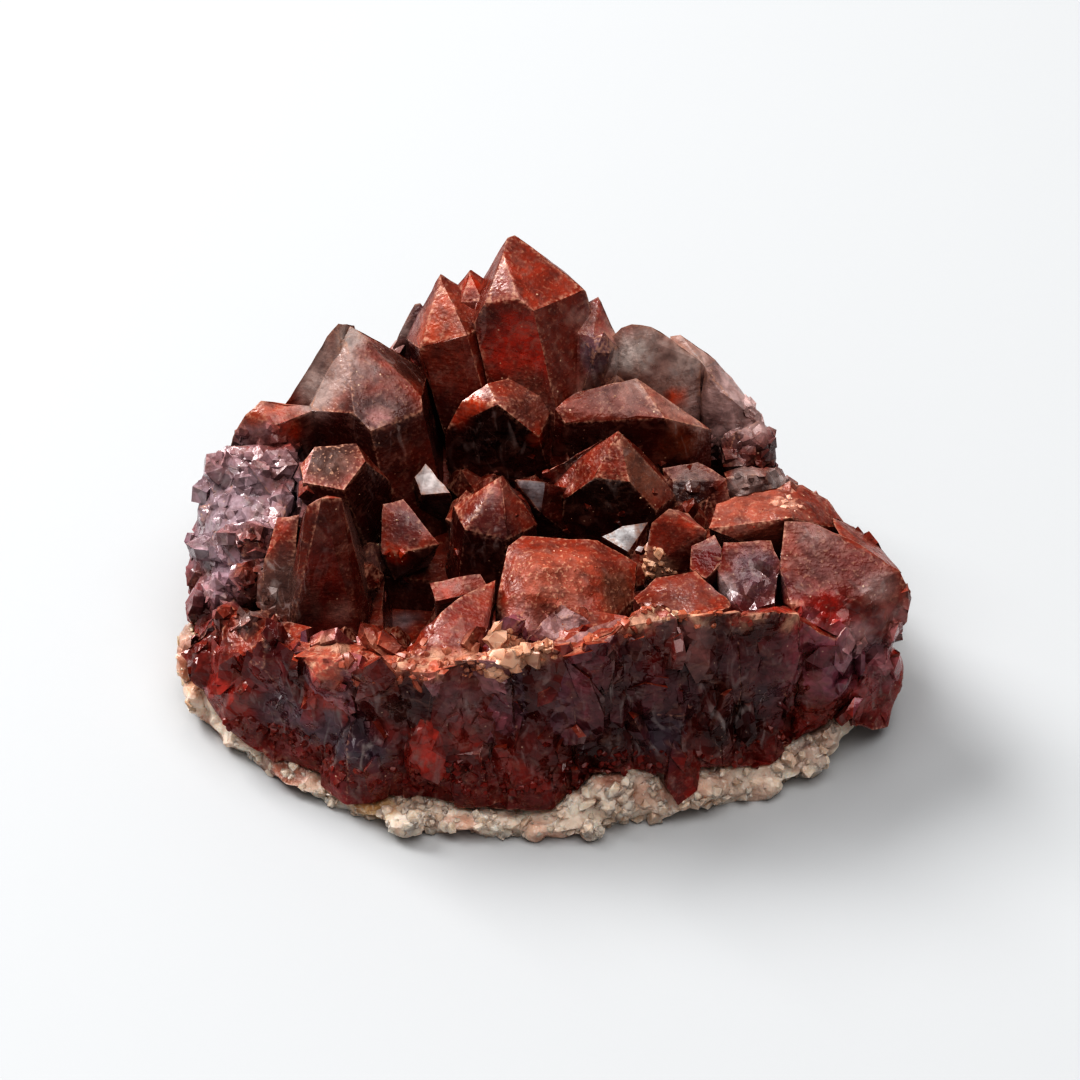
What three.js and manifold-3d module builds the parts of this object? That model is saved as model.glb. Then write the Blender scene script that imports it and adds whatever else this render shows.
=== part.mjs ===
import * as THREE from 'three';
import { ConvexGeometry } from 'three/addons/geometries/ConvexGeometry.js';
import { mergeVertices } from 'three/addons/utils/BufferGeometryUtils.js';
import Module from 'manifold-3d';

// All lengths are millimetres, +Z is up and the cut face of the matrix lies on z = 0.

// Slope of a quartz rhomb face above the plane square to the long axis, in degrees.
const pitch = 51.8;
// Air left between the matrix and the crystals that grow on it.
const seam = 0.3;
// Brings the middle of the stone's footprint onto the origin.
const toMiddle = [1.1, -1.9, 0];
// Corners round the outline of the root and of the matrix slab.
const rootCorners = 24;
const slabCorners = 40;

const wasm = await Module();
wasm.setup();

// --- helpers ---

function toSolid(geometry) {
  geometry.deleteAttribute('normal');
  geometry.deleteAttribute('uv');
  const merged = mergeVertices(geometry, 1e-4);
  return new wasm.Manifold(
    new wasm.Mesh({
      numProp: 3,
      vertProperties: new Float32Array(merged.attributes.position.array),
      triVerts: new Uint32Array(merged.index.array),
    }),
  );
}

function toMesh(name, solid, color, roughness) {
  const { vertProperties, triVerts } = solid.getMesh();
  const geometry = new THREE.BufferGeometry();
  geometry.setAttribute('position', new THREE.BufferAttribute(vertProperties, 3));
  geometry.setIndex(new THREE.BufferAttribute(triVerts, 1));
  geometry.translate(...toMiddle);
  const material = new THREE.MeshStandardMaterial({ color, roughness, metalness: 0, flatShading: true });
  const mesh = new THREE.Mesh(geometry, material);
  mesh.name = name;
  return mesh;
}

function fuse(solids) {
  return solids.reduce((whole, next) => whole.add(next));
}

// A convex lump with flat faces, given by its corners.
function lump(...corners) {
  const vectors = corners.map(([x, y, z]) => new THREE.Vector3(x, y, z));
  return toSolid(new ConvexGeometry(vectors));
}

// Corners of the convex body that lies behind every one of the planes.
function cornersBehind(planes) {
  const corners = [];
  for (let i = 0; i < planes.length; i++) {
    for (let j = i + 1; j < planes.length; j++) {
      for (let k = j + 1; k < planes.length; k++) {
        const [a, b, c] = [planes[i], planes[j], planes[k]];
        const bc = b.normal.clone().cross(c.normal);
        const spread = a.normal.dot(bc);
        if (Math.abs(spread) < 1e-6) continue;
        const ca = c.normal.clone().cross(a.normal);
        const ab = a.normal.clone().cross(b.normal);
        const corner = bc.multiplyScalar(-a.constant);
        corner.addScaledVector(ca, -b.constant);
        corner.addScaledVector(ab, -c.constant);
        corner.divideScalar(spread);
        if (planes.every((plane) => plane.distanceToPoint(corner) < 1e-5)) corners.push(corner);
      }
    }
  }
  return corners;
}

// A six-sided quartz point. The tip is where its rhomb faces would meet, lean is how far the long axis
// goes sideways per millimetre of height, turn sets where its first face looks (degrees, -90 is the
// front), cuts lower single rhomb faces and sides widen or narrow single prism faces.
function point({ tip, lean = [0, 0], radius, turn = -90, length, cuts = [], sides = [] }) {
  const planes = [new THREE.Plane(new THREE.Vector3(0, 0, -1), -length)];
  const slope = THREE.MathUtils.degToRad(pitch);
  for (let k = 0; k < 6; k++) {
    const angle = THREE.MathUtils.degToRad(turn + 60 * k);
    const outward = new THREE.Vector3(Math.cos(angle), Math.sin(angle), 0);
    planes.push(new THREE.Plane(outward, -radius * (sides[k] ?? 1)));
    const rhomb = outward.clone().multiplyScalar(Math.sin(slope)).setZ(Math.cos(slope));
    planes.push(new THREE.Plane(rhomb, cuts[k] ?? 0));
  }
  const geometry = new ConvexGeometry(cornersBehind(planes));
  const axis = new THREE.Vector3(lean[0], lean[1], 1).normalize();
  geometry.applyQuaternion(new THREE.Quaternion().setFromUnitVectors(new THREE.Vector3(0, 0, 1), axis));
  geometry.translate(...tip);
  return toSolid(geometry);
}

// A closed body through level outlines that all have the same number of corners.
function loft(rings) {
  const count = rings[0].length;
  const positions = rings.flat(2);
  const indices = [];
  for (let level = 0; level + 1 < rings.length; level++) {
    for (let k = 0; k < count; k++) {
      const a = level * count + k;
      const b = level * count + ((k + 1) % count);
      indices.push(a, b, b + count, a, b + count, a + count);
    }
  }
  const ends = [rings[0], rings.at(-1)];
  ends.forEach((ring, end) => {
    const middle = positions.length / 3;
    for (let axis = 0; axis < 3; axis++) {
      positions.push(ring.reduce((sum, corner) => sum + corner[axis], 0) / count);
    }
    const first = end * (rings.length - 1) * count;
    for (let k = 0; k < count; k++) {
      const a = first + k;
      const b = first + ((k + 1) % count);
      if (end === 0) indices.push(middle, b, a);
      else indices.push(middle, a, b);
    }
  });
  const geometry = new THREE.BufferGeometry();
  geometry.setAttribute('position', new THREE.Float32BufferAttribute(positions, 3));
  geometry.setIndex(indices);
  return toSolid(geometry);
}

// Height of the uneven contact between matrix and crystals: one row for each y, one value for each x.
const contact = {
  x: [-42, -33, -26, -18, -12, -5, 0, 4, 10, 17, 22, 27, 42],
  y: [-32, -20, -8, 10, 36],
  height: [
    [2, 1.5, 1.5, 1.6, 2.6, 1.8, 2.2, 5.4, 5, 4, 2.8, 5, -8],
    [3, 2, 1.5, 1.6, 2.6, 1.8, 2.2, 5.4, 5, 4, 2.8, 5, -8],
    [9, 8, 4, 3.4, 3, 3, 3, 4, 4, 4, 4, 5, -6],
    [6, 6, 4, 3, 3, 3, 3, 3, 3, 4, 4, 5, 5],
    [5, 5, 5, 4, 4, 5, 4, 4, 5, 5, 4, 4, 5],
  ],
};

// Everything below the contact, raised by lift.
function bed(lift) {
  const depth = -12;
  const { x, y, height } = contact;
  const positions = [];
  const indices = [];
  const at = (i, j, top) => (top * y.length + j) * x.length + i;
  for (const top of [0, 1]) {
    y.forEach((ys, j) => x.forEach((xs, i) => positions.push(xs, ys, top ? height[j][i] + lift : depth)));
  }
  for (let j = 0; j + 1 < y.length; j++) {
    for (let i = 0; i + 1 < x.length; i++) {
      indices.push(at(i, j, 1), at(i + 1, j, 1), at(i + 1, j + 1, 1));
      indices.push(at(i, j, 1), at(i + 1, j + 1, 1), at(i, j + 1, 1));
      indices.push(at(i, j, 0), at(i + 1, j + 1, 0), at(i + 1, j, 0));
      indices.push(at(i, j, 0), at(i, j + 1, 0), at(i + 1, j + 1, 0));
    }
  }
  for (let i = 0; i + 1 < x.length; i++) {
    const last = y.length - 1;
    indices.push(at(i, 0, 0), at(i + 1, 0, 0), at(i + 1, 0, 1));
    indices.push(at(i, 0, 0), at(i + 1, 0, 1), at(i, 0, 1));
    indices.push(at(i + 1, last, 0), at(i, last, 0), at(i, last, 1));
    indices.push(at(i + 1, last, 0), at(i, last, 1), at(i + 1, last, 1));
  }
  for (let j = 0; j + 1 < y.length; j++) {
    const last = x.length - 1;
    indices.push(at(0, j + 1, 0), at(0, j, 0), at(0, j, 1));
    indices.push(at(0, j + 1, 0), at(0, j, 1), at(0, j + 1, 1));
    indices.push(at(last, j, 0), at(last, j + 1, 0), at(last, j + 1, 1));
    indices.push(at(last, j, 0), at(last, j + 1, 1), at(last, j, 1));
  }
  const geometry = new THREE.BufferGeometry();
  geometry.setAttribute('position', new THREE.Float32BufferAttribute(positions, 3));
  geometry.setIndex(indices);
  return toSolid(geometry);
}

// --- the root that every crystal grows from ---

// Plan outline of the whole stone, from the left end round the front, right and back.
const outline = [
  [-34.2, -2], [-34.4, -8], [-31.2, -13], [-27.5, -16], [-21.5, -18.6], [-17, -20.6], [-13, -22.4],
  [-8, -22.4], [-1.5, -23], [4, -22.6], [9.5, -21], [16, -19.4], [22, -17.2], [27, -14], [31, -9],
  [32, 0], [28, 9], [22, 17], [14, 23.5], [4, 27.5], [-6, 27], [-18, 22.5], [-28, 16.5], [-33.4, 8],
];

const plan = new THREE.CatmullRomCurve3(outline.map(([x, y]) => new THREE.Vector3(x, y, 0)), true);

// One level of a body that follows the outline: inset moves it inward, sway makes its edge uneven and
// swell pushes out only the front edge, which begins at y = -14 and is full 6 mm further out.
function ring({ z, inset, sway, swell = 0 }, count) {
  return Array.from({ length: count }, (_, k) => {
    const { x, y } = plan.getPoint(k / count);
    const wave = Math.sin(k * 2.4 + z) + 0.6 * Math.sin(k * 1.1 - 2 * z);
    const front = swell * THREE.MathUtils.clamp((-14 - y) / 6, 0, 1);
    const shrink = 1 - (inset + sway * wave - front) / Math.hypot(x, y);
    return [x * shrink, y * shrink, z];
  });
}

const rootLevels = [
  { z: 0.5, inset: 1.6, sway: 0.2 },
  { z: 4, inset: 0.8, sway: 0.3 },
  { z: 7, inset: 1.6, sway: 0.4 },
  { z: 9.6, inset: 6, sway: 1 },
];

const root = loft(rootLevels.map((level) => ring(level, rootCorners)));

// Deep gaps left open between the crystals.
const hollows = [
  lump([-17, 2, 17], [-9, 1, 17], [-9.4, -6, 16], [-14, -11.5, 15], [-16.8, -9, 14], [-15, -9, 7.4],
    [-11.4, -8.4, 8.4], [-11, -2, 6.4], [-15.4, -1.4, 6.2]),
  lump([-3.6, -0.4, 17], [1, 1.6, 17], [3.6, -1, 16], [-2.6, -3.2, 16.4], [-2.4, -1.4, 9.6],
    [1.4, -0.6, 9.2]),
];

// --- tall crystals along the back ---

const back = [
  // filling behind the tall crystals
  lump([-9, 8.6, 12.4], [16, 8.2, 12.4], [15, 18, 14], [-14, 19, 14], [-16, 11, 13], [-12, 12, 2],
    [16, 12, 2], [0, 20, 2]),
  // blunt summit crystal
  point({ tip: [-4.6, 24.4, 33.8], lean: [-0.25, 0.5], radius: 5.4, turn: -106, length: 27,
    cuts: [0, 0.7, 0.2, 0.1, 1.2, 1], sides: [0.96, 1, 1.16] }),
  // its left neighbour and the small wedge between them
  point({ tip: [-11, 22.4, 29.2], lean: [-0.28, 0.4], radius: 4.4, turn: -98, length: 22,
    cuts: [0, 0, 0, 0, 0.4, 0.3] }),
  point({ tip: [-7.6, 22.8, 29.4], lean: [-0.1, 0.4], radius: 2.2, turn: -90, length: 14,
    cuts: [0, 0.3] }),
  // smoky peak on the left with its clear left side
  point({ tip: [-19.9, 17.4, 28.4], lean: [-0.2, 0.35], radius: 6.2, turn: -121, length: 25,
    cuts: [0.7, 0.8, 0.6, 1, 1.2, 1.2], sides: [0.9, 1.1] }),
  lump([-20.4, 16, 27.9], [-21.6, 15.4, 26.8], [-23, 14.6, 23.2], [-24, 14.2, 22.2], [-26, 13, 20],
    [-22, 12.4, 20], [-20.2, 13.6, 23.6], [-19, 18, 26], [-23, 18, 18], [-26, 14, 12], [-18, 18, 12]),
  // smoky, nearly clear group on the right
  lump([7, 17.6, 26], [8, 17.6, 26.6], [10, 17.6, 26.2], [11, 18, 25.2], [15, 17.2, 22], [15, 16.4, 18],
    [11, 15, 20], [9, 14.6, 22], [6, 16, 20], [5.6, 17.6, 24], [10.6, 16.8, 24.6], [7, 22, 18],
    [15.4, 20.4, 16], [6, 15, 10], [15.2, 14.6, 10]),
  lump([12, 19.8, 23], [13, 20, 23.2], [14, 19.6, 22.6], [15, 18.6, 22], [16.6, 18.6, 21], [17, 19, 20],
    [15.4, 17, 21.6], [15.4, 17, 16], [12, 18, 16], [12, 23, 14], [17, 21, 12]),
  lump([17, 19, 20], [18.2, 18, 19.2], [19, 17.6, 17.6], [20.2, 16.6, 17], [21, 16, 16], [21.6, 15, 15],
    [19, 14.4, 14], [15.6, 14.4, 14], [15, 16, 18], [15.8, 16, 20], [15.4, 17, 21.4], [18, 15, 19],
    [20, 18, 8], [14.6, 20.2, 8], [16, 14, 6]),
  lump([21.4, 15, 15], [22.6, 14, 13], [23, 13.4, 12], [21, 11.4, 13.4], [17.4, 11.4, 13.4],
    [17, 14, 14.6], [21, 14.8, 16.4], [18.4, 13, 16.6], [22, 14, 6], [17, 11, 6], [17, 16, 6]),
  // thin purple-grey crystal leaning on the summit crystal
  point({ tip: [5.3, 16.6, 26.4], lean: [0.2, 0.1], radius: 1.3, turn: -80, length: 9 }),
  // clear crystals showing behind the shoulder
  lump([-15.6, 20.4, 21], [-15, 21.4, 22.2], [-13.6, 22.4, 23.2], [-13.4, 23.4, 24.2],
    [-12.8, 23.6, 24.2], [-13.4, 20.6, 19], [-14.6, 20.4, 18], [-11, 22, 22], [-12, 25, 16],
    [-16, 21, 14], [-10, 20, 14]),
  point({ tip: [5.4, 21.4, 27.4], lean: [0.3, 0.6], radius: 3.2, turn: -60, length: 18,
    cuts: [0.3, 0.7, 0.5] }),
];

// --- left side ---

const left = [
  // red crystal with the flat top
  lump([-29.5, 10.5, 21], [-28, 11.5, 22], [-22, 11.5, 21], [-26.5, 9, 21], [-31, 10, 18.5],
    [-24.5, 9.5, 18], [-25, 8, 14], [-31.5, 9, 15], [-30, 14, 8], [-22, 14, 8], [-33, 8, 8],
    [-22, 8, 8]),
  // rough purple flank
  lump([-34, 7.5, 14.6], [-33, 8.6, 16.8], [-31.5, 9.5, 18], [-28, 8.5, 18.6], [-25.5, 8, 18],
    [-24.5, 4.5, 17.5], [-29, 2.5, 17], [-31.5, 0.5, 15], [-29.5, -2.5, 14.5], [-35, 6, 11.5],
    [-35.4, 2.5, 9], [-35.4, -2, 6], [-27, -3, 15.5], [-28.5, -7, 11], [-34, -7, 6], [-34, 0, 3],
    [-30, -7, 3], [-24, 4, 3], [-30, 10, 3]),
  // olive-brown crystal with a flat top and a dark right face
  lump([-24, 4.5, 20], [-22.5, 6, 21], [-18.5, 6.5, 21], [-17.5, 4, 21], [-19.5, 1, 20], [-23.5, 2, 20],
    [-15.5, 5.5, 17], [-14.5, 6, 12], [-17.5, 1, 12], [-24, 1, 10], [-25, 8, 10], [-15, 8, 10]),
  // tall steep crystal at the left front
  lump([-22.4, -5, 23.8], [-21, -5.2, 24.9], [-19.2, -4.4, 24.2], [-20.6, -3.8, 24], [-17.6, -6, 15.5],
    [-17, -7.5, 13], [-17.5, -11, 9], [-25.2, -12, 9], [-24.6, -7.6, 15], [-23.2, -5.6, 20.6],
    [-23.4, -1, 19], [-19, 0, 19], [-17, 0, 8], [-25, 0, 8]),
  // grey-brown slab on its left
  lump([-27.5, -12, 9], [-26.8, -5.6, 17.4], [-25.6, -2.6, 20], [-23.4, -3, 20.8], [-24.4, -8, 15],
    [-25, -12.4, 9], [-28, -3, 8], [-24, -3, 8]),
];

// --- crystals around and inside the hollow ---

const middle = [
  // ember crystal with a glowing rim
  lump([-6, 12.6, 23.2], [-8.6, 11.5, 22], [-10.2, 10.4, 19], [-10.2, 10, 15], [-1, 9, 19.4],
    [-5, 10, 22.8], [1, 13.4, 21.4], [0.5, 10, 14], [-2, 15, 22.4], [-9, 16, 12], [2, 16, 12],
    [-9, 9, 10], [1, 9, 10]),
  // wide red-brown crystal
  lump([0.5, 10.5, 21.8], [2.5, 12.4, 22.4], [8.5, 13.8, 23], [11.2, 10, 21], [1.5, 9.5, 20.8],
    [0, 9.6, 15], [15, 10.5, 14], [16, 11.6, 18], [11, 9, 14], [1, 9, 10], [16, 9, 10], [14, 14, 12],
    [2, 14, 12]),
  // peak crystal with a pale right face
  point({ tip: [6.6, 6.8, 22.4], lean: [0.05, 0.12], radius: 5.4, turn: -98, length: 16,
    sides: [0.55, 1, 1, 1, 1, 1] }),
  lump([2.6, 7, 19], [-0.6, 6.4, 17], [0, 5, 12], [4, 5, 13], [5, 9, 19], [0, 10, 10], [5, 4, 9]),
  // small pale crystals
  lump([-12, 7.2, 17.8], [-9.5, 4.8, 16], [-12.5, 5, 15.4], [-13.2, 6.4, 16.6], [-11, 8, 12],
    [-9, 6, 10], [-13.5, 7, 10]),
  lump([-3.5, 4.4, 18.2], [-0.4, 4.2, 18], [-0.8, 3, 15], [-3, 5.6, 14], [3, 5, 16], [2, 3, 12],
    [-2, 4, 10]),
  lump([5, 0.6, 14.2], [7, 1.3, 15], [9.6, 1.8, 15], [7.6, -0.4, 13], [6, 3, 9], [10, 3, 9], [5, 0, 8],
    [9, -1, 8]),
  // centre crystal with a striated tip
  point({ tip: [-4.6, 1.8, 21.4], lean: [0.12, 0.18], radius: 3.7, turn: -104, length: 15,
    cuts: [0, 0, 0, 0, 0.2, 0] }),
  point({ tip: [-8, 3.6, 17.6], lean: [-0.1, 0.1], radius: 2.2, turn: -70, length: 11 }),
  // small crystal over the hollow
  lump([-16, 2.2, 17], [-14, 2.8, 17.2], [-10.4, -1.2, 15], [-14.5, -1.6, 14], [-16.2, -1, 14.2],
    [-11.6, -0.4, 11], [-15, -1.8, 10.5], [-12, 3, 12], [-17, 3, 9], [-12, 2, 9]),
  // dark and light crystals at the right of the hollow
  lump([11, 8.6, 15.8], [14.6, 9.2, 16], [12, 7.2, 15.4], [17.4, 7.4, 15.4], [18, 5, 12.4],
    [12.4, 4.4, 12.4], [12, 9, 8], [18, 8, 8]),
  lump([17.2, 9.8, 14], [21, 8.6, 14.8], [22.6, 11.2, 13.6], [23.6, 10.6, 12.6], [24, 9.6, 12],
    [22, 7.8, 12.6], [19.4, 7.4, 12.6], [17.4, 8.8, 14.2], [24, 9, 6], [17, 6, 6], [18, 12, 6]),
];

// --- right side ---

const right = [
  // three-cornered crystal
  lump([11, -4.4, 23], [9.4, -5, 21.6], [8.9, -7.2, 17.6], [14.6, -6.4, 21.8], [13, -6.4, 17],
    [13, -3, 21], [9, -4, 12], [15, -4, 12], [13, -9, 14]),
  // brick red top
  lump([14.6, -6, 21.8], [15.5, -2.4, 21.6], [18.5, -1, 21.4], [21.5, 0.5, 21], [24, 1.4, 20.4],
    [26.4, 0.2, 19.6], [28.6, -2.6, 18], [22.2, -5.6, 22.8], [17, -6.6, 21], [28, 0, 12], [16, 2, 10],
    [24, 3, 12], [29, -5, 12]),
  // small rounded pieces at its back edge
  point({ tip: [22.8, 0.8, 22.2], lean: [0.1, 0.4], radius: 2, turn: -70, length: 8,
    cuts: [0.3, 0.4, 0.2, 0.3, 0.2, 0.4] }),
  lump([28, -1.6, 18.4], [30.4, -3.4, 18], [31.8, -5.2, 17.4], [32.8, -7.6, 17.6], [31.6, -8.6, 19.6],
    [27, -6.6, 21], [26.4, -3, 20.4], [31.4, -5, 12], [28, -2, 11]),
  // large crystal lying to the right
  lump([21.6, -6.2, 23], [24, -6, 22.8], [28.2, -7.2, 21.4], [32.2, -9.6, 20], [33.4, -10.6, 18.2],
    [33, -12, 15.6], [31.6, -12.6, 13.4], [28, -14.4, 15], [23, -15, 17], [21, -10, 20.6],
    [31.4, -5, 16.6], [30, -3, 14], [32, -8, 9], [22, -3, 12], [22, -13, 9]),
  // grey-purple crystal
  lump([16, -7.8, 21.8], [20.4, -7.6, 22], [21.2, -9.4, 20.6], [20.4, -13, 17.6], [18, -13.6, 17.4],
    [15.4, -9.6, 20], [15.6, -12, 16], [21, -8, 12], [15.5, -8, 12]),
  // crimson glassy crystal
  lump([13, -7.8, 21.4], [15.2, -6.8, 21.8], [16.2, -8.8, 20.8], [14.4, -10.4, 19.6], [12.8, -9.4, 20],
    [13, -8, 14], [16, -8, 14], [14.5, -10.5, 14]),
  // flat wedge
  lump([7.6, -11.6, 18.4], [9.8, -9.6, 19], [13.4, -9.6, 20], [16.2, -13, 19.4], [13.6, -15.6, 20],
    [8.2, -13.2, 19], [9, -10, 10], [16, -10, 10], [14, -16, 12], [8, -14, 12]),
];

// --- front crystals, rim and broken wall ---

const front = [
  // filling behind the broken wall
  lump([-17.2, -14.3, 12.2], [-4.6, -14.1, 12.5], [-4.6, -18.4, 12.2], [-7.1, -19.1, 11.8],
    [-15.7, -19.1, 11.7], [-18.3, -18.2, 11.9], [-17.3, -14.4, 6.7], [-4.7, -14.2, 6.6],
    [-4.7, -18.3, 6.5], [-7.3, -19.2, 6.4], [-15.6, -19.3, 6.6], [-18.4, -18.3, 6.3]),
  lump([-6.2, -12.3, 10.9], [-6.1, -19.9, 10.7], [3.1, -20.1, 10.8], [8.1, -18.9, 11.1],
    [14.1, -17.5, 11.3], [21.1, -15.5, 10.6], [20.6, -12.1, 10.7], [-6.3, -12.2, 4.6],
    [-6.4, -20.1, 4.4], [3.2, -20.4, 4.7], [8.2, -19.1, 4.5], [14.2, -17.7, 4.8],
    [21.2, -15.7, 4.3], [20.7, -12.2, 4.9]),
  // rough centre crystal and the light facet before it
  lump([-4, -4.6, 18.2], [-2.6, -3.4, 18.4], [4.5, -3.6, 18], [8.4, -5.2, 16.6], [8, -9, 15.4],
    [5, -12.6, 16], [-3, -13.4, 16], [-5, -10.6, 16.4], [-1, -9, 19.4], [3, -8, 19], [-5, -4, 9],
    [8, -3, 9], [7, -14, 9], [-5, -14, 9]),
  lump([-2, -16, 18.2], [1, -13.2, 19.2], [3.2, -12.6, 18.4], [5, -14.8, 17.2], [1, -16.8, 17.2],
    [-2, -13, 12], [5, -13, 12], [0, -17, 12]),
  // leaning crystals at its left
  lump([-10, -13, 18.2], [-8.5, -11.6, 18.4], [-5, -9, 18.2], [-5.4, -13, 17.4], [-7, -18, 17],
    [-12, -18, 16.6], [-13.4, -15.6, 15.4], [-11.4, -12.6, 14], [-6, -9, 9], [-13, -14, 9],
    [-6, -18, 10]),
  lump([-11.2, -9.4, 18.2], [-6.4, -8.4, 18.4], [-5.6, -9.6, 17.4], [-10.6, -11, 17.2], [-10.6, -9, 12],
    [-6, -8, 12]),
  lump([-3, -14.8, 20], [-3.8, -15, 19.4], [-6.4, -16.6, 16.6], [-5, -17.2, 16.4], [-3, -15.8, 17.6],
    [-4, -15, 11], [-6, -17, 11]),
];

// Broken wall: lumps that run from the rim down to the matrix.
const wall = [
  lump([-28, -12, 12], [-24, -13, 15], [-22, -16, 16], [-25, -17, 11], [-32, -13, 7], [-35, -9, 8],
    [-31, -7, 12], [-33, -12.4, 2], [-28, -16.6, 2], [-22, -18.4, 2], [-24, -10, 2], [-22, -12, 15]),
  lump([-34.4, -8.6, 8], [-35, -6, 6], [-34.2, -10, 5], [-32.8, -12.6, 4], [-33.6, -10, 1],
    [-32, -6, 10], [-30, -9, 1], [-32, -13.4, 1.4]),
  lump([-23.6, -16.4, 15.6], [-21.2, -18.6, 15.8], [-18.8, -18.4, 17.6], [-19.6, -14, 16],
    [-22.6, -18, 7], [-18, -20.4, 2], [-26, -17, 2], [-18, -14, 12], [-24, -14, 12]),
  lump([-19.4, -18, 17.4], [-16.6, -19.6, 16.4], [-13.6, -19, 17], [-14, -15, 15.6], [-19, -14, 15.6],
    [-16.8, -20.4, 9], [-17.6, -21.2, 2], [-12, -22.6, 2], [-13.4, -21, 9]),
  lump([-14.2, -18.6, 17.2], [-10.4, -20, 17.6], [-8, -19, 17.4], [-8, -14, 15], [-14, -14, 14],
    [-11.4, -21.6, 11], [-13.6, -22.6, 2], [-7.4, -23, 2], [-8, -20.6, 11]),
  lump([-8.6, -18.8, 17.8], [-6, -19.2, 18.4], [-3.6, -19.8, 18.6], [-3.4, -14, 15], [-8.6, -14, 14],
    [-5.4, -21.4, 10], [-8.4, -22.8, 2], [-2.6, -23.6, 2], [-3.2, -20.8, 12]),
  lump([-4, -19.4, 18.8], [-1.4, -19, 19.8], [1.8, -19.4, 19.2], [1.8, -15, 15], [-4, -15, 15],
    [-0.4, -21.6, 12], [-3, -23.4, 2], [3, -23.6, 2], [2, -20.8, 13]),
  lump([1.4, -19.2, 19.2], [4.6, -19, 20.2], [7, -17.4, 21], [7, -13, 14], [1.4, -14, 15],
    [4.4, -21.4, 9], [2.4, -23.4, 2], [8, -22.2, 2], [6.6, -19.8, 14]),
  lump([6.4, -17.6, 20.8], [8, -16.4, 21.8], [10.2, -16, 22.2], [11.4, -17.2, 21.6], [11, -12, 14],
    [6.6, -13, 14], [9.6, -19.6, 11], [7.4, -22, 2], [12.4, -21, 2], [11.6, -18.8, 13]),
  lump([11, -16.8, 21.8], [13.2, -17.4, 22], [17, -16.8, 22], [17.2, -12, 16], [11, -12, 14],
    [14.4, -19.4, 12], [12, -20.8, 2], [18, -19.6, 2], [17.4, -18, 13]),
  lump([16.2, -17.1, 21.6], [20, -16, 21], [22.6, -15, 19.8], [22.6, -10, 16], [16.6, -12, 16],
    [20, -17.6, 12], [17.4, -19.2, 2], [23.4, -16.4, 2], [23, -15.8, 12]),
  lump([22, -15, 19.4], [26, -14.8, 16.4], [28.6, -14, 14.4], [28, -8, 12], [22, -9, 14],
    [26.6, -15, 9], [22.8, -16.4, 3], [29, -13, 3], [29, -13.8, 9]),
  lump([28, -13.8, 14.2], [31, -12.6, 13.4], [31.6, -11, 14], [31, -6, 10], [26, -8, 10],
    [31.4, -12.6, 10.2], [31, -12.6, 5], [30.6, -12.4, 3], [27, -14.2, 3], [32, -8, 7], [32, -6, 4]),
  lump([31, -12.2, 10], [32.8, -11.4, 9], [33.8, -10.6, 6.2], [33.4, -11.4, 3.8], [32, -13, 3.6],
    [29.4, -14.6, 3.8], [28, -14.6, 8], [31, -8, 10], [33, -6, 6], [29, -10, 3],
    [32.4, -12.6, 0.7], [29.4, -15.3, 1.1], [33.2, -8, 0.9], [29.6, -11, 0.9]),
];

// Broken prisms that stand out of the wall as low, wide ridges.
const columns = [
  point({ tip: [-29.6, -8.9, 14], lean: [-0.3, 0.12], radius: 2.3, turn: -84, length: 13,
    cuts: [1, 0, 0.6] }),
  point({ tip: [-25, -12.6, 16], lean: [0.04, 0.16], radius: 2.6, turn: -70, length: 15,
    cuts: [0.6, 1.2, 0, 0.6] }),
  point({ tip: [-17, -14.6, 16.4], lean: [0.05, 0.32], radius: 3.4, turn: -78, length: 16,
    cuts: [0.6, 0.4] }),
  point({ tip: [-8, -17.6, 12.4], lean: [-0.16, 0.32], radius: 3, turn: -104, length: 11,
    cuts: [0.8, 0, 0, 0, 0.6] }),
  point({ tip: [-0.8, -15.8, 16], lean: [0.1, 0.32], radius: 3.8, turn: -84, length: 15,
    cuts: [0, 0.9] }),
  point({ tip: [10.6, -13.9, 16.2], lean: [0, 0.32], radius: 4.1, turn: -98, length: 15,
    cuts: [0.7, 0.3] }),
  point({ tip: [19.8, -12.2, 15.4], lean: [0.14, 0.32], radius: 3.6, turn: -72, length: 14,
    cuts: [0.4, 0.8] }),
];

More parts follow.
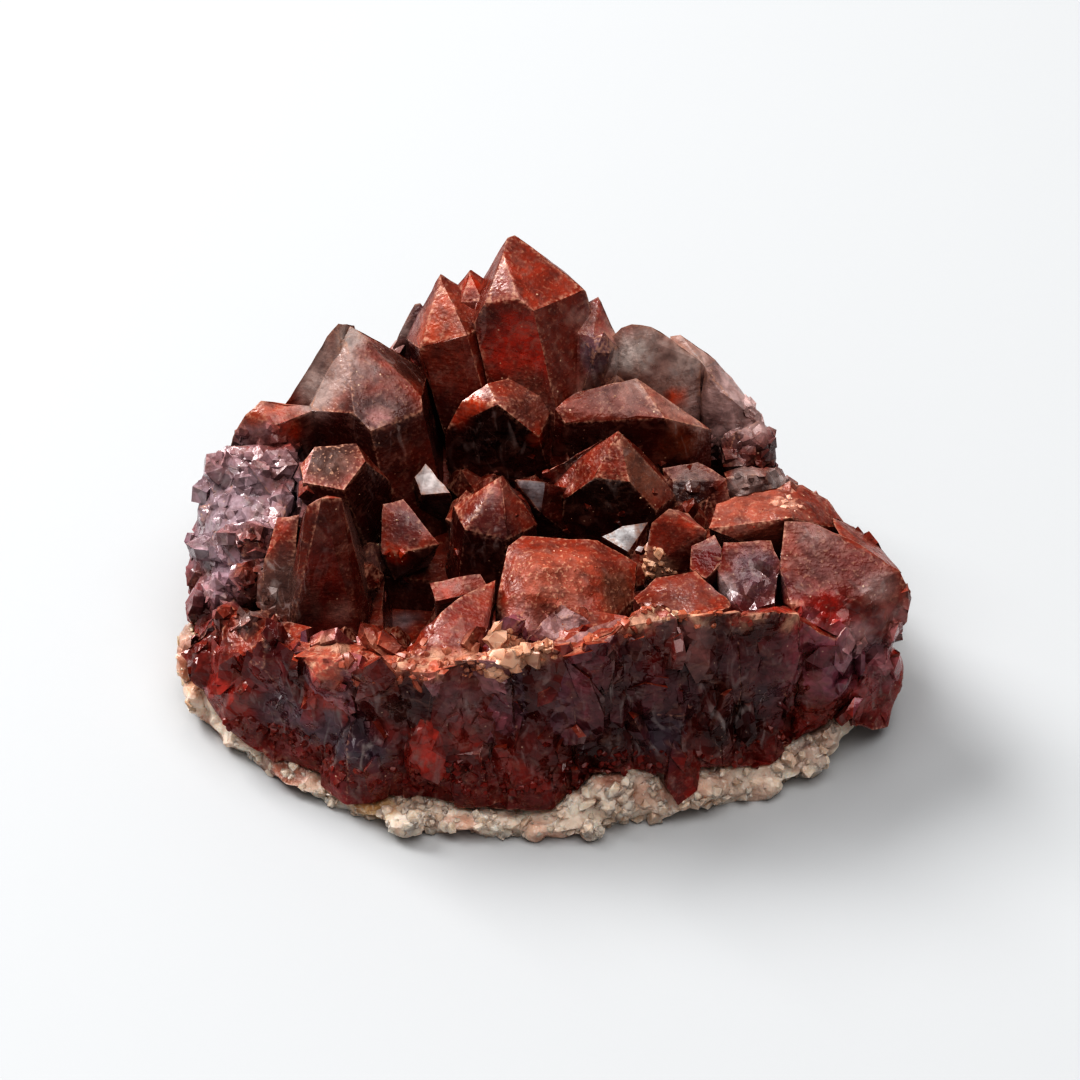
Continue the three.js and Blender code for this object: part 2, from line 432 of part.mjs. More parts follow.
// Small crystals that fill the valleys, the flank and the hollow: tip, lean, radius, turn.
const smallPoints = [
  [[-8.6, 8.4, 15.6], [-0.1, -0.2], 1.7, -80],
  [[-5.4, 7.6, 15.8], [0.1, -0.1], 1.9, -100],
  [[-1.4, 8, 15.4], [0.1, 0], 1.7, -70],
  [[13.6, 3.4, 15.8], [0.1, -0.2], 2, -95],
  [[-16.8, -3.6, 14.6], [0.3, -0.2], 1.5, -75],
  [[-15.4, 8.4, 18.6], [0.2, -0.2], 2.2, -90],
  [[-13.2, 12.2, 20.6], [0.2, -0.1], 2.4, -70],
  [[6.6, 15, 22.2], [0, 0], 1.3, -80],
  [[-27.8, -10.4, 15], [-0.2, -0.2], 1.8, -95],
  [[-31, -8.4, 13.6], [-0.3, -0.3], 1.9, -75],
  [[-25, -13, 15.8], [0, -0.3], 1.6, -85],
  [[-33.9, 4, 15], [-0.7, -0.2], 1.7, -70],
  [[-32.4, 6.4, 19], [-0.4, -0.2], 2.1, -100],
  [[-28.9, 4.6, 20], [-0.2, -0.2], 2.3, -80],
  [[-26, 6, 20], [0, -0.2], 1.8, -90],
  [[-33.3, 0.2, 13.6], [-0.7, -0.3], 1.9, -85],
  [[-31, -1.2, 16.8], [-0.3, -0.3], 2.1, -70],
  [[-28.2, -2, 18], [-0.1, -0.3], 1.8, -95],
  [[-34.4, -4, 10], [-0.8, -0.3], 1.7, -80],
  [[-31.8, -5.4, 14], [-0.4, -0.4], 2, -90],
  [[-28.8, -5.8, 16], [-0.2, -0.3], 1.9, -75],
  [[-34.9, 1.4, 9.4], [-0.9, -0.1], 1.7, -70],
  [[-14.4, -7.6, 10.4], [0.2, 0], 1.5, -70],
  [[25.4, 2, 19.2], [0.1, 0.3], 1.9, -80],
  [[-19, -11.6, 14.6], [0.1, 0.1], 2.2, -80],
  [[-14.6, -12.8, 14.4], [0, 0.1], 2.1, -65],
  [[-17, 0.4, 13.6], [0.1, -0.1], 1.9, -90],
  [[-10, -6, 12.6], [-0.2, 0], 2.3, -75],
  [[-7.6, -3.6, 12.8], [-0.1, 0.1], 2.2, -85],
  [[3.4, 1.2, 13], [0, 0], 2.3, -80],
  [[8.8, 0.2, 13.4], [0.1, 0], 2.4, -70],
  [[12.4, 1.2, 13.8], [0.1, 0.1], 2.3, -95],
  [[15.6, 6, 14.2], [0, 0], 2.4, -85],
  [[19.2, 4, 14.4], [0.1, 0.1], 2.6, -70],
  [[22.8, 4.8, 13.8], [0.2, 0.1], 2.5, -95],
  [[26.4, 5.6, 12.4], [0.4, 0.1], 2.7, -80],
  [[25.8, 9, 11.4], [0.4, 0.3], 2.5, -100],
  [[29.4, 1.6, 12], [0.5, 0], 2.6, -75],
  [[31.2, -3, 10.6], [0.6, 0], 2.4, -90],
  [[16.4, 1.4, 15], [0, 0], 2.2, -80],
];

const small = smallPoints.map(([tip, lean, radius, turn]) =>
  point({ tip, lean, radius, turn, length: 5 * radius }),
);

// --- crystals on the sides and at the back ---

const rear = [
  point({ tip: [-33.6, 8.4, 11.8], lean: [-0.8, 0.3], radius: 2.6, turn: -70, length: 9 }),
  point({ tip: [-30.4, 13, 15], lean: [-0.6, 0.5], radius: 3.4, turn: -100, length: 13,
    cuts: [0, 0.6] }),
  point({ tip: [-24.4, 17.4, 16.6], lean: [-0.4, 0.7], radius: 3.8, turn: -80, length: 14,
    cuts: [0, 0, 0.8] }),
  point({ tip: [-17, 22.6, 16.4], lean: [-0.3, 0.8], radius: 3.6, turn: -60, length: 14 }),
  point({ tip: [-10.4, 27.4, 19.4], lean: [-0.2, 0.8], radius: 3.8, turn: -95, length: 17,
    cuts: [0, 0, 0, 0.7] }),
  point({ tip: [-1.4, 30.2, 19.6], lean: [0, 0.9], radius: 4, turn: -75, length: 17,
    cuts: [0, 0.5, 0, 0.5] }),
  point({ tip: [7.4, 27.2, 15.6], lean: [0.2, 0.9], radius: 3.6, turn: -90, length: 14 }),
  point({ tip: [14.4, 23.8, 14.2], lean: [0.4, 0.8], radius: 3.2, turn: -65, length: 12 }),
  point({ tip: [21.4, 18, 12], lean: [0.7, 0.6], radius: 3.2, turn: -85, length: 11,
    cuts: [0, 0, 0.6] }),
  point({ tip: [26.6, 10.8, 9.4], lean: [0.8, 0.4], radius: 3, turn: -100, length: 9 }),
  point({ tip: [31.4, 4.4, 8.4], lean: [0.9, 0.2], radius: 3, turn: -70, length: 9, cuts: [0.4] }),
];

// A low apron of crystals that points outward round the right side, the back and the left side.
const apron = Array.from({ length: 14 }, (_, k) => {
  const { x, y } = plan.getPoint(0.6 + 0.03 * k);
  const outward = 1.1 / Math.hypot(x, y);
  const tip = [x * 0.985, y * 0.985, 7.4 + 1.2 * Math.sin(k * 1.9)];
  const lean = [x * outward, y * outward];
  return point({ tip, lean, radius: 2.9 + 0.5 * Math.sin(k * 2.7), turn: k * 37, length: 8 });
});

const hollowed = fuse([root, ...wall]).subtract(fuse(hollows));
const tall = [...back, ...left, ...middle, ...right, ...front];
const low = [...columns, ...small, ...rear, ...apron];
const crystals = fuse([hollowed, ...tall, ...low]).subtract(bed(seam));

// --- pale matrix ---

const slabLevels = [
  { z: -1, inset: 0.3, sway: 0.5, swell: 1.4 },
  { z: 1.6, inset: -0.6, sway: 0.7, swell: 1.7 },
  { z: 5, inset: 0.3, sway: 0.6, swell: 0.8 },
  { z: 11, inset: 3, sway: 0.3 },
];

const slab = loft(slabLevels.map((level) => ring(level, slabCorners)));

// Rounded knobs and droplets that swell out of its edge: centre and radii, each turned its own way.
const knobs = [
  [[-13.4, -24.4, 1.8], [1.9, 1.5, 1.9]],
  [[-10, -23.2, 0.6], [2.6, 1.4, 1.8]],
  [[-5.4, -23.6, 0.8], [2.4, 1.5, 1.7]],
  [[-1.3, -24.9, 0.9], [1.1, 1, 1.2]],
  [[0.8, -23.8, 1.2], [2.6, 1.5, 2.2]],
  [[3.8, -24.7, 0.9], [1.1, 1, 1.4]],
  [[5.4, -22.6, 2.4], [2.6, 1.5, 2.8]],
  [[9.2, -21.6, 1.8], [2.8, 1.4, 2.6]],
  [[14, -20.8, 2.2], [3, 1.5, 2.2]],
  [[19, -19.6, 1], [3, 1.3, 1.8]],
  [[24.4, -16.8, 1.6], [2, 1.6, 2.2]],
  [[25.8, -15, 2.8], [2.2, 1.4, 2.3]],
  [[-18.6, -20.4, 0.4], [2.8, 1.3, 1.5]],
  [[-34.6, -6, 4.6], [1.4, 3, 3.6]],
  [[-33.8, -9.6, 2.6], [1.3, 2, 2]],
  [[-34, 2.6, 1.6], [1.7, 3, 2.8]],
  [[-30.6, 11.4, 1.8], [2.6, 3.4, 2.6]],
  [[-20.6, 19.6, 1], [4.4, 2.4, 3.4]],
  [[-11.6, 24, 2.6], [3, 2.2, 2]],
  [[9.4, 24.4, 2.2], [3.6, 2.2, 2.4]],
  [[16.6, 20.6, 1], [2.6, 2.6, 2.2]],
  [[23.6, 14, 1.8], [2.8, 3, 3]],
  [[30, 4.6, 1], [2.2, 3.8, 2.6]],
  [[31, -5, 2], [1.8, 2.4, 2.6]],
];

function knob([centre, radii], index) {
  const geometry = new THREE.IcosahedronGeometry(1, 1);
  geometry.rotateX(index * 0.7);
  geometry.rotateZ(index * 1.3);
  geometry.scale(...radii);
  geometry.translate(...centre);
  return toSolid(geometry);
}

const belowFloor = new THREE.BoxGeometry(120, 120, 20);
belowFloor.translate(0, 0, -10);

const matrixSolid = fuse([slab, ...knobs.map(knob)]).intersect(bed(0)).subtract(toSolid(belowFloor));

const group = new THREE.Group();
group.add(toMesh('crystal_cluster', crystals, 0x7c3f33, 0.25));
group.add(toMesh('matrix', matrixSolid, 0xcbbba4, 0.6));

export default group;
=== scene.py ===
import math
from itertools import product

import bpy
import numpy as np
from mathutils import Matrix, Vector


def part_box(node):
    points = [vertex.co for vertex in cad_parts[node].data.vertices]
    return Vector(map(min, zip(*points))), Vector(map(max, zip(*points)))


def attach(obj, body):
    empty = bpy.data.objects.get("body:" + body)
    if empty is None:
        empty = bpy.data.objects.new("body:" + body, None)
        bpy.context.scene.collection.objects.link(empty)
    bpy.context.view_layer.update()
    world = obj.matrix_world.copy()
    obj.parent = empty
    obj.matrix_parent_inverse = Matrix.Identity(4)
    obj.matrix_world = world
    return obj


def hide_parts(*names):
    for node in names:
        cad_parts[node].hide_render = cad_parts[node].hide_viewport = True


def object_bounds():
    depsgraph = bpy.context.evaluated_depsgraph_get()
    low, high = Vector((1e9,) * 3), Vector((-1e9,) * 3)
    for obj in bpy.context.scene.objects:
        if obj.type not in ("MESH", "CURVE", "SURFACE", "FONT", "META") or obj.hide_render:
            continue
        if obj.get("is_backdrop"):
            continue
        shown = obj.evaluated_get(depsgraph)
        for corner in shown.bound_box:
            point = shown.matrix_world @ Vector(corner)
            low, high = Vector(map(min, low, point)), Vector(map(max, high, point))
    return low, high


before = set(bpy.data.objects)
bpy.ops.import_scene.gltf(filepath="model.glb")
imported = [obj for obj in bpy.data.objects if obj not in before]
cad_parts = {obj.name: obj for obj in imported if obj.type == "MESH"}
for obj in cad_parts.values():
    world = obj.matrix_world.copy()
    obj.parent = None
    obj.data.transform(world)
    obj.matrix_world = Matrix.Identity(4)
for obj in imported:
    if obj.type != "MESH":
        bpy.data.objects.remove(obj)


def writeSize(stage, sizes={}):
    low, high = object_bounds()
    sizes[stage] = [list(map(float, low)), list(map(float, high))]


writeSize("start")

# Shapes are worked out in millimetres and turned into metres when a mesh is made.
mm = 0.001
random = np.random.default_rng(11)
partLow = np.array([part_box(name)[0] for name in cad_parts]).min(0) / mm
partHigh = np.array([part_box(name)[1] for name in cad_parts]).max(0) / mm
# Everything stays this far inside the outer box of the solids, in mm.
boxMargin = 0.05
# Chance ways for a small crystal to be turned
turns = np.linalg.qr(random.normal(size=(24, 3, 3)))[0]


def smooth(low, high, value):
    t = np.clip((value - low) / (high - low), 0, 1)
    return t * t * (3 - 2 * t)


# Numbers from 0 to 1 that hang on the cell only, in as many columns as asked
def chance(cells, seed, columns):
    angle = cells @ [12.9898, 78.233, 37.719] + 4.1 * seed
    mixed = np.sin(angle)[:, None] * (43758.5453 + 917.3 * np.arange(columns))
    return mixed - np.floor(mixed)


# Value noise from -1 to 1
def noise(points, size, seed):
    q = points / size
    cell = np.floor(q)
    t = q - cell
    t = t * t * (3 - 2 * t)
    total = np.zeros(len(points))
    for corner in product((0, 1), repeat=3):
        weight = np.prod(np.where(corner, t, 1 - t), axis=1)
        total += weight * chance(cell + corner, seed, 1)[:, 0]
    return 2 * total - 1


# A wave of the given height and size
def wave(points, heightAndSize, seed):
    height, size = heightAndSize
    return height * noise(points, size, seed)


# Heights of blocky crystals that have grown into each other, about size mm across, and a number for each one
def facets(points, size, seed, stretch=(1, 1, 1)):
    q = points * stretch / size
    cell = np.floor(q)
    best = np.full(len(points), -1.0)
    owner = np.zeros(len(points))
    for corner in product((-1, 0, 1), repeat=3):
        seat = cell + corner
        lot = chance(seat, seed, 6)
        turn = turns[(lot[:, 3] * len(turns)).astype(int)]
        away = np.abs(np.einsum("nij,nj->ni", turn, q - seat - lot[:, :3]))
        height = 0.35 + 0.45 * lot[:, 4] - 0.65 * away.max(1) - 0.22 * away.sum(1)
        owner = np.where(height > best, lot[:, 5], owner)
        best = np.maximum(best, height)
    return size * np.maximum(best, -0.35), owner


# How far space is bent and over what distance, in mm
bending = (1.4, 6.5)


# Bends space a little, so that straight things come out curved
def bent(points):
    return points + np.column_stack([wave(points, bending, seed) for seed in (51, 52, 53)])


stoneColours = {
    "brick": "#983f28",
    "deep": "#4c1a12",
    "orange": "#b8441c",
    "mauve": "#6e525c",
    "cream": "#c9a48c",
    "veil": "#aa9c98",
    "pink": "#b07a76",
    "white": "#e4e0de",
}


# Linear values of a colour, which is given by its name above or by its sRGB code
def linear(code):
    code = stoneColours.get(code, code)
    values = np.array([int(code[i : i + 2], 16) / 255 for i in (1, 3, 5)])
    return np.where(values <= 0.04045, values / 12.92, ((values + 0.055) / 1.055) ** 2.4)


# Values moved towards a goal by a share from 0 to 1
def blend(values, goal, share):
    return values + share * (goal - values)


def unit(vectors):
    return vectors / np.maximum(np.linalg.norm(vectors, axis=-1, keepdims=True), 1e-12)


def readNode(name):
    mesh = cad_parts[name].data
    mesh.calc_loop_triangles()
    points = np.zeros(len(mesh.vertices) * 3)
    mesh.vertices.foreach_get("co", points)
    triangles = np.zeros(len(mesh.loop_triangles) * 3, int)
    mesh.loop_triangles.foreach_get("vertices", triangles)
    points = np.round(points.reshape(-1, 3) / mm, 4)
    points, index = np.unique(points, axis=0, return_inverse=True)
    triangles = index.reshape(-1)[triangles].reshape(-1, 3)
    whole = (triangles != np.roll(triangles, 1, axis=1)).all(1)
    return points, triangles[whole]


# Halves every edge that is too long for its place until none is left
def refine(points, triangles, longestAt):
    while True:
        edges = np.sort(triangles[:, [[0, 1], [1, 2], [2, 0]]], axis=2).reshape(-1, 2)
        pairs, index = np.unique(edges, axis=0, return_inverse=True)
        start, end = points[pairs[:, 0]], points[pairs[:, 1]]
        cut = np.linalg.norm((start - end)[:, :3], axis=1) > longestAt((start + end) / 2)
        if not cut.any():
            return points, triangles
        middle = np.full(len(pairs), -1)
        middle[cut] = len(points) + np.arange(cut.sum())
        points = np.vstack([points, (points[pairs[cut, 0]] + points[pairs[cut, 1]]) / 2])
        middle = middle[index.reshape(-1, 3)]
        split = middle >= 0
        # Each triangle is turned until its pattern of cut edges is one of four.
        turn = np.zeros(len(triangles), int)
        count = split.sum(1)
        one, two = count == 1, count == 2
        turn[one] = np.argmax(split[one], axis=1)
        turn[two] = (np.argmin(split[two], axis=1) + 1) % 3
        order = (np.arange(3) + turn[:, None]) % 3
        a, b, c = np.take_along_axis(triangles, order, 1).T
        ab, bc, ca = np.take_along_axis(middle, order, 1).T
        parts = [triangles[count == 0]]
        for pattern, corners in (
            (1, [(a, ab, c), (ab, b, c)]),
            (2, [(ab, b, bc), (a, ab, bc), (a, bc, c)]),
            (3, [(a, ab, ca), (ab, b, bc), (ca, bc, c), (ab, bc, ca)]),
        ):
            parts += [np.stack(corner, 1)[count == pattern] for corner in corners]
        triangles = np.vstack(parts)


def faceNormals(points, triangles):
    a, b, c = (points[triangles[:, k]] for k in range(3))
    return np.cross(b - a, c - a)


def vertexNormals(points, triangles):
    normals = np.zeros_like(points)
    areas = faceNormals(points, triangles)
    for k in range(3):
        np.add.at(normals, triangles[:, k], areas)
    return unit(normals)


# For each vertex, 1 on a sharp outward edge and 0 elsewhere, and the same for inward edges
def sharpness(points, triangles):
    normals = unit(faceNormals(points, triangles))
    centres = points[triangles].mean(1)
    edges = np.sort(triangles[:, [[0, 1], [1, 2], [2, 0]]], axis=2).reshape(-1, 2)
    owner = np.repeat(np.arange(len(triangles)), 3)
    order = np.lexsort((edges[:, 1], edges[:, 0]))
    edges, owner = edges[order], owner[order]
    same = (edges[1:] == edges[:-1]).all(1)
    first, second = owner[:-1][same], owner[1:][same]
    bend = 1 - (normals[first] * normals[second]).sum(1)
    outward = ((centres[second] - centres[first]) * normals[first]).sum(1) < 0
    ridge = np.zeros(len(points))
    valley = np.zeros(len(points))
    pairs = edges[:-1][same]
    strength = smooth(0.03, 0.2, bend)
    for k in range(2):
        np.maximum.at(ridge, pairs[:, k], strength * outward)
        np.maximum.at(valley, pairs[:, k], strength * ~outward)
    return ridge, valley


def keepInside(points):
    return np.clip(points, partLow + boxMargin, partHigh - boxMargin)


# corners holds colour layers by name, four values for each corner of each triangle
def makeMesh(name, points, triangles, corners, crease):
    mesh = bpy.data.meshes.new(name)
    mesh.from_pydata((points * mm).tolist(), [], triangles.tolist())
    for layer, values in corners.items():
        attribute = mesh.attributes.new(layer, "FLOAT_COLOR", "CORNER")
        attribute.data.foreach_set("color", np.clip(values, 0, 1).astype(np.float32).ravel())
    mesh.update()
    piece = bpy.data.objects.new(name, mesh)
    bpy.context.scene.collection.objects.link(piece)
    mesh.polygons.foreach_set("use_smooth", [True] * len(mesh.polygons))
    mesh.set_sharp_from_angle(angle=math.radians(crease))
    return piece


# Places on the stone: centre and radius in mm, colour, how strong it is, how clear the crystal is there (0 to
# 1), how dusty its skin is (0 to 1) and, where only one facet has the look, that facet's normal. Three of
# them, white or pale grey on a single facet, are painted highlights.
places = [
    ((-3.7, 17, 30.9), 5, "#85524c", 0.7, 0.1, 0.2, (-0.38, -0.42, 0.82)),
    ((1.2, 16.8, 29.8), 7, "brick", 0.8, 0, 0.3, (0.37, -0.21, 0.91)),
    ((-1.3, 12.5, 25.9), 6, "#a82f16", 0.85, 0.1, 0.1, (-0.32, -0.88, 0.36)),
    ((-10.1, 16.3, 26.5), 4.5, "#90462f", 0.8, 0, 0.4, None),
    ((-5.6, 14.7, 27.2), 2.4, "deep", 0.6, 0.1, 0.1, None),
    ((-8.1, 13.2, 22.7), 4, "#7e3624", 0.8, 0, 0.2, None),
    ((-6.7, 19.7, 28.7), 1.2, "orange", 0.9, 0.2, 0, None),
    ((-14, 21, 21.5), 3, "#c4b6b0", 0.8, 0.3, 0, None),
    ((-21.2, 12.1, 23.7), 4.8, "#b8a098", 0.85, 0.25, 0.1, None),
    ((-21.4, 10.2, 22.2), 3.4, "#b4a29c", 0.8, 0.2, 0.1, None),
    ((-18.2, 14.4, 26.8), 2, "#c8b8b0", 0.8, 0.2, 0.3, None),
    ((-18.7, 10.5, 24.4), 3, "#b39c96", 0.7, 0.3, 0.5, None),
    ((-13.5, 14.2, 23.2), 4.6, "#5c443e", 0.8, 0.35, 0, (0.66, 0.21, 0.72)),
    ((-15.2, 6.7, 22.1), 5, "#4a2a26", 0.8, 0.3, 0.2, None),
    ((-15.4, 6.9, 22.1), 1.6, "pink", 0.7, 0.1, 0.4, None),
    ((-20.2, 7.7, 19.8), 3, "deep", 0.6, 0.2, 0.1, None),
    ((-25.9, 8.1, 21.4), 4, "#944a32", 0.8, 0, 0.3, None),
    ((-24.6, 7.2, 19.6), 2, "orange", 0.8, 0.1, 0.1, None),
    ((-30, 2, 14), 9.8, "#aa969c", 0.95, 0.25, 0.02, None),
    ((-30.6, -6, 12.5), 4.5, "#ae979f", 0.9, 0.25, 0.02, None),
    ((-31.5, -6.8, 11.8), 2.4, "pink", 0.6, 0.3, 0.3, None),
    ((-19.9, 2.4, 20.8), 4.2, "#341c0e", 0.9, 0, 0.9, (-0.09, -0.22, 0.97)),
    ((-16.1, 1.8, 18.8), 4, "#3a1a17", 0.7, 0.1, 0.1, (0.8, -0.57, 0.19)),
    ((-20.3, -10.1, 17.3), 7, "#7c3228", 0.85, 0.15, 0.1, (0.12, -0.92, 0.36)),
    ((-17.2, -6, 18.4), 6, "#94746c", 0.7, 0.3, 0.4, (0.98, 0.11, 0.16)),
    ((-16, -2.4, 12.1), 3, "#8a6a66", 0.6, 0.3, 0.1, None),
    ((-18.5, -11.1, 14.2), 1.6, "#a08078", 0.6, 0.1, 0.6, None),
    ((-20.2, -6.6, 23.6), 0.8, "white", 0.8, 0, 0.6, None),
    ((-24.2, -9.5, 15.3), 4.4, "#6e5a54", 0.8, 0.5, 0.1, None),
    ((-27.2, -11.8, 14), 1.8, "veil", 0.7, 0.4, 0.1, None),
    ((-27.1, -8.2, 14.6), 1.5, "#6e241c", 0.8, 0.1, 0.1, None),
    ((-12.7, -1.4, 15.9), 2.6, "#5c3638", 0.7, 0.3, 0.1, None),
    ((-13.8, -3.4, 13.5), 1.3, "orange", 0.8, 0.2, 0, None),
    ((-13.2, -5.1, 6.5), 1.8, "#948688", 0.8, 0.2, 0.3, None),
    # painted highlight: a facet painted white where it reflects the light
    ((-10.2, 4, 16.6), 3, "white", 0.8, 0.1, 0, (-0.18, -0.71, 0.68)),
    ((-1.3, 10.8, 22.3), 3.8, "#6c3c2e", 0.8, 0, 0.4, None),
    ((-6.6, 9.4, 22.2), 2.4, "#c04a1e", 0.8, 0.2, 0, None),
    ((-3.7, 7.7, 19.8), 5.2, "#200a07", 0.9, 0.3, 0, (-0.14, -0.98, 0.12)),
    ((-7.6, 8.2, 20.6), 1.5, "#9c3614", 0.9, 0.2, 0, None),
    ((-0.3, 7.1, 19), 1.1, "#9c3a16", 0.8, 0.2, 0, None),
    ((7, 9.6, 22), 6, "#6c3020", 0.8, 0, 0.3, (0.05, -0.44, 0.9)),
    ((6, 7.5, 18.7), 5, "#3a1814", 0.8, 0.2, 0.1, (0.05, -0.99, 0.14)),
    ((14.9, 4.3, 14.3), 4, "#341512", 0.6, 0.1, 0.1, None),
    ((13.4, 7.8, 17.8), 2.8, "#8c4c2e", 0.8, 0.3, 0.1, None),
    ((5.9, 1.7, 18.9), 4.6, "#443029", 0.8, 0.3, 0.3, (-0.14, -0.98, 0.12)),
    ((10.3, 3.2, 18.7), 4.5, "#80604f", 0.6, 0.35, 0.2, (0.65, -0.41, 0.64)),
    ((-4.5, -1.6, 20), 1.4, "#a88682", 0.7, 0.1, 0.3, None),
    ((-5, -4.1, 17.8), 4, "#482226", 0.7, 0.3, 0.1, None),
    # painted highlight: a facet painted pale grey where it reflects the light
    ((-0.8, 1.9, 17), 2.8, "#b0abae", 0.8, 0.2, 0, (-0.04, -0.93, 0.38)),
    # painted highlight: a facet painted bright white where it reflects the light
    ((8.1, -1.2, 14.3), 3.6, "#f0f0f0", 0.95, 0, 0.1, (0.01, -0.76, 0.65)),
    ((12.5, 17, 20), 9.5, "#ba9a90", 0.95, 0.2, 0.05, None),
    ((9.5, 13.9, 23.7), 3, "#dccfc8", 0.8, 0.3, 0.2, None),
    ((15, 15, 22.4), 2.2, "#cbb6ae", 0.7, 0.3, 0.1, None),
    ((9.9, 11.7, 22.8), 2.4, "#9a6c5e", 0.7, 0.2, 0.2, None),
    ((13.4, 13.4, 18.9), 1.3, "#c8501e", 0.9, 0.1, 0, None),
    ((5.8, 13.2, 24.7), 2.4, "#705a66", 0.8, 0.4, 0.1, None),
    ((20, 14, 17.5), 5.6, "#c8aca8", 0.95, 0.15, 0.05, None),
    ((20, 10.4, 15.3), 2.2, "#5c3c3c", 0.6, 0.3, 0.1, None),
    ((20.4, 6.6, 14.2), 2.6, "#b0a29e", 0.8, 0.4, 0, None),
    ((23.9, 7.2, 12.9), 2.6, "#b0a29e", 0.8, 0.4, 0, None),
    ((14.9, 6.4, 15.7), 2.6, "#785850", 0.7, 0.1, 0.2, (0.01, -0.3, 0.95)),
    ((14.9, 4.3, 14.3), 3, "#3c1f1e", 0.8, 0.3, 0.1, (0.03, -0.73, 0.68)),
    ((10.9, -7.8, 20.2), 2.2, "#7c2c16", 0.8, 0.2, 0.1, None),
    ((12.2, -6.2, 22.8), 1.1, "#c89c8a", 0.7, 0.1, 0.3, None),
    ((14.1, -7.2, 22.2), 1.6, "brick", 0.7, 0, 0.2, None),
    ((11.2, -9, 17.5), 1.9, "cream", 0.8, 0, 1, None),
    ((20.6, -4.4, 22.2), 6.5, "#945848", 0.8, 0, 0.4, None),
    ((23.6, -4.6, 22.3), 1.5, "#dcab96", 0.7, 0.1, 0.5, None),
    ((26, -9.1, 22.1), 2.4, "#b98880", 0.6, 0.5, 0.1, None),
    ((31.4, -9, 19.4), 2.6, "#b07c76", 0.7, 0.5, 0.1, None),
    ((27.7, -12.5, 19.7), 6, "#641c10", 0.85, 0.1, 0.4, (0.06, -0.57, 0.82)),
    ((31.5, -13, 18.9), 2.2, "#9c807c", 0.7, 0.3, 0.1, None),
    ((33, -14.1, 16.1), 2.6, "#a47470", 0.7, 0.3, 0.1, None),
    ((26.8, -15, 18.1), 2.2, "#a42a1a", 0.8, 0.2, 0, None),
    ((15.8, -10.5, 20.9), 2.2, "#701c22", 0.8, 0.4, 0, None),
    ((19.9, -12.1, 20), 3.6, "#6e525a", 0.8, 0.3, 0.1, None),
    ((17.2, -12.6, 19.2), 1.5, "#b8a8a8", 0.7, 0.2, 0.2, None),
    ((13, -14.7, 19.7), 3.4, "#6c4038", 0.7, 0.1, 0.3, None),
    ((2, -11.5, 18.6), 5.4, "#94503c", 0.85, 0, 0.85, None),
    ((7.7, -10.6, 16.5), 2.6, "#5c3c2c", 0.8, 0, 0.5, None),
    ((2.5, -16.7, 18.2), 3.4, "#b0908e", 0.85, 0.1, 0.6, (0.24, -0.47, 0.85)),
    ((-7.6, -15.9, 17.9), 4, "#7e3428", 0.8, 0, 0.3, None),
    ((-8.1, -11.9, 17.7), 1.4, "#a84020", 0.8, 0.2, 0, None),
    ((-3.4, -17.9, 18.1), 1.6, "#7c5248", 0.7, 0.1, 0.3, None),
]

# The broken wall round the front, in the same form.
wallPlaces = [
    ((-19.6, -20.6, 15.2), 2, "#8e2f1a", 0.6, 0.2, 0.1, None),
    ((-19.1, -21.1, 10.5), 1.6, "#8a767c", 0.8, 0.5, 0, None),
    ((-24, -19.4, 9), 4.4, "#664c56", 0.85, 0.35, 0, None),
    ((-20, -21.2, 8), 3.8, "#604e5a", 0.85, 0.35, 0, None),
    ((-15.9, -22.5, 8.6), 3.4, "#5c4a58", 0.85, 0.35, 0, None),
    ((-12.6, -22.1, 12.5), 2.2, "#6c4c48", 0.7, 0.3, 0.1, None),
    ((-7.2, -22.4, 13.6), 3, "#8c6a6c", 0.6, 0.2, 0.05, None),
    ((1.3, -23, 13.4), 2.2, "#745054", 0.6, 0.2, 0, None),
    ((6.5, -21.9, 15.1), 3.2, "#38100e", 0.6, 0.3, 0, None),
    ((11, -19.9, 18.3), 3, "#701a12", 0.8, 0.3, 0, None),
    ((11.7, -22.5, 9.5), 3, "#584452", 0.7, 0.3, 0, None),
    ((18.2, -21.5, 8.4), 4.4, "#2a0a0a", 0.7, 0.4, 0, None),
    ((21.4, -19.9, 11.5), 2.4, "#6c5860", 0.7, 0.3, 0, None),
    ((28.4, -16.6, 12.2), 5, "#7c4a5a", 0.8, 0.2, 0, None),
    ((29.2, -16, 15.4), 2.4, "#a58280", 0.8, 0.3, 0.1, None),
    ((26.9, -17.2, 7.7), 2.8, "#7c2c1e", 0.8, 0.2, 0.1, None),
    ((32.4, -13.5, 5.9), 3.6, "#8a4448", 0.8, 0.3, 0, None),
]

# The crust along the rim of the wall.
rimPlaces = [
    ((-19.8, -18.8, 16.6), 2.8, "#a55842", 0.85, 0, 0.5, None),
    ((-16.5, -18.8, 16.6), 2.8, "#a65a44", 0.85, 0, 0.6, None),
    ((-13.2, -19.6, 17), 2.8, "#a8604a", 0.85, 0, 0.6, None),
    ((-9.7, -20.6, 17.4), 2.6, "#a85e48", 0.85, 0, 0.7, None),
    ((-6, -19.8, 17.9), 1.8, "#bd8a70", 0.8, 0, 0.9, None),
    ((-2.6, -20, 18.4), 2.2, "cream", 0.9, 0, 1, None),
    ((0.6, -20.2, 19), 2, "#b67a60", 0.8, 0, 0.9, None),
    ((4.4, -19.8, 19.8), 2.4, "#a85440", 0.9, 0, 0.7, None),
    ((8.6, -18.4, 21.4), 2.4, "#ac543c", 0.9, 0, 0.7, None),
    ((11.1, -18, 22.1), 1.8, "#a84c32", 0.8, 0, 0.6, None),
    ((14.4, -18.2, 21.8), 1.8, "#a8604a", 0.8, 0, 0.7, None),
    ((18.4, -17.8, 21.2), 2.4, "#9a4432", 0.85, 0, 0.5, None),
    ((23, -16.2, 19.4), 2.4, "#9a382a", 0.85, 0, 0.4, None),
]


# Two waves, in the form height and size, that make the edges of the places uneven
raggedWaves = ((0.3, 2.3), (0.25, 0.9))


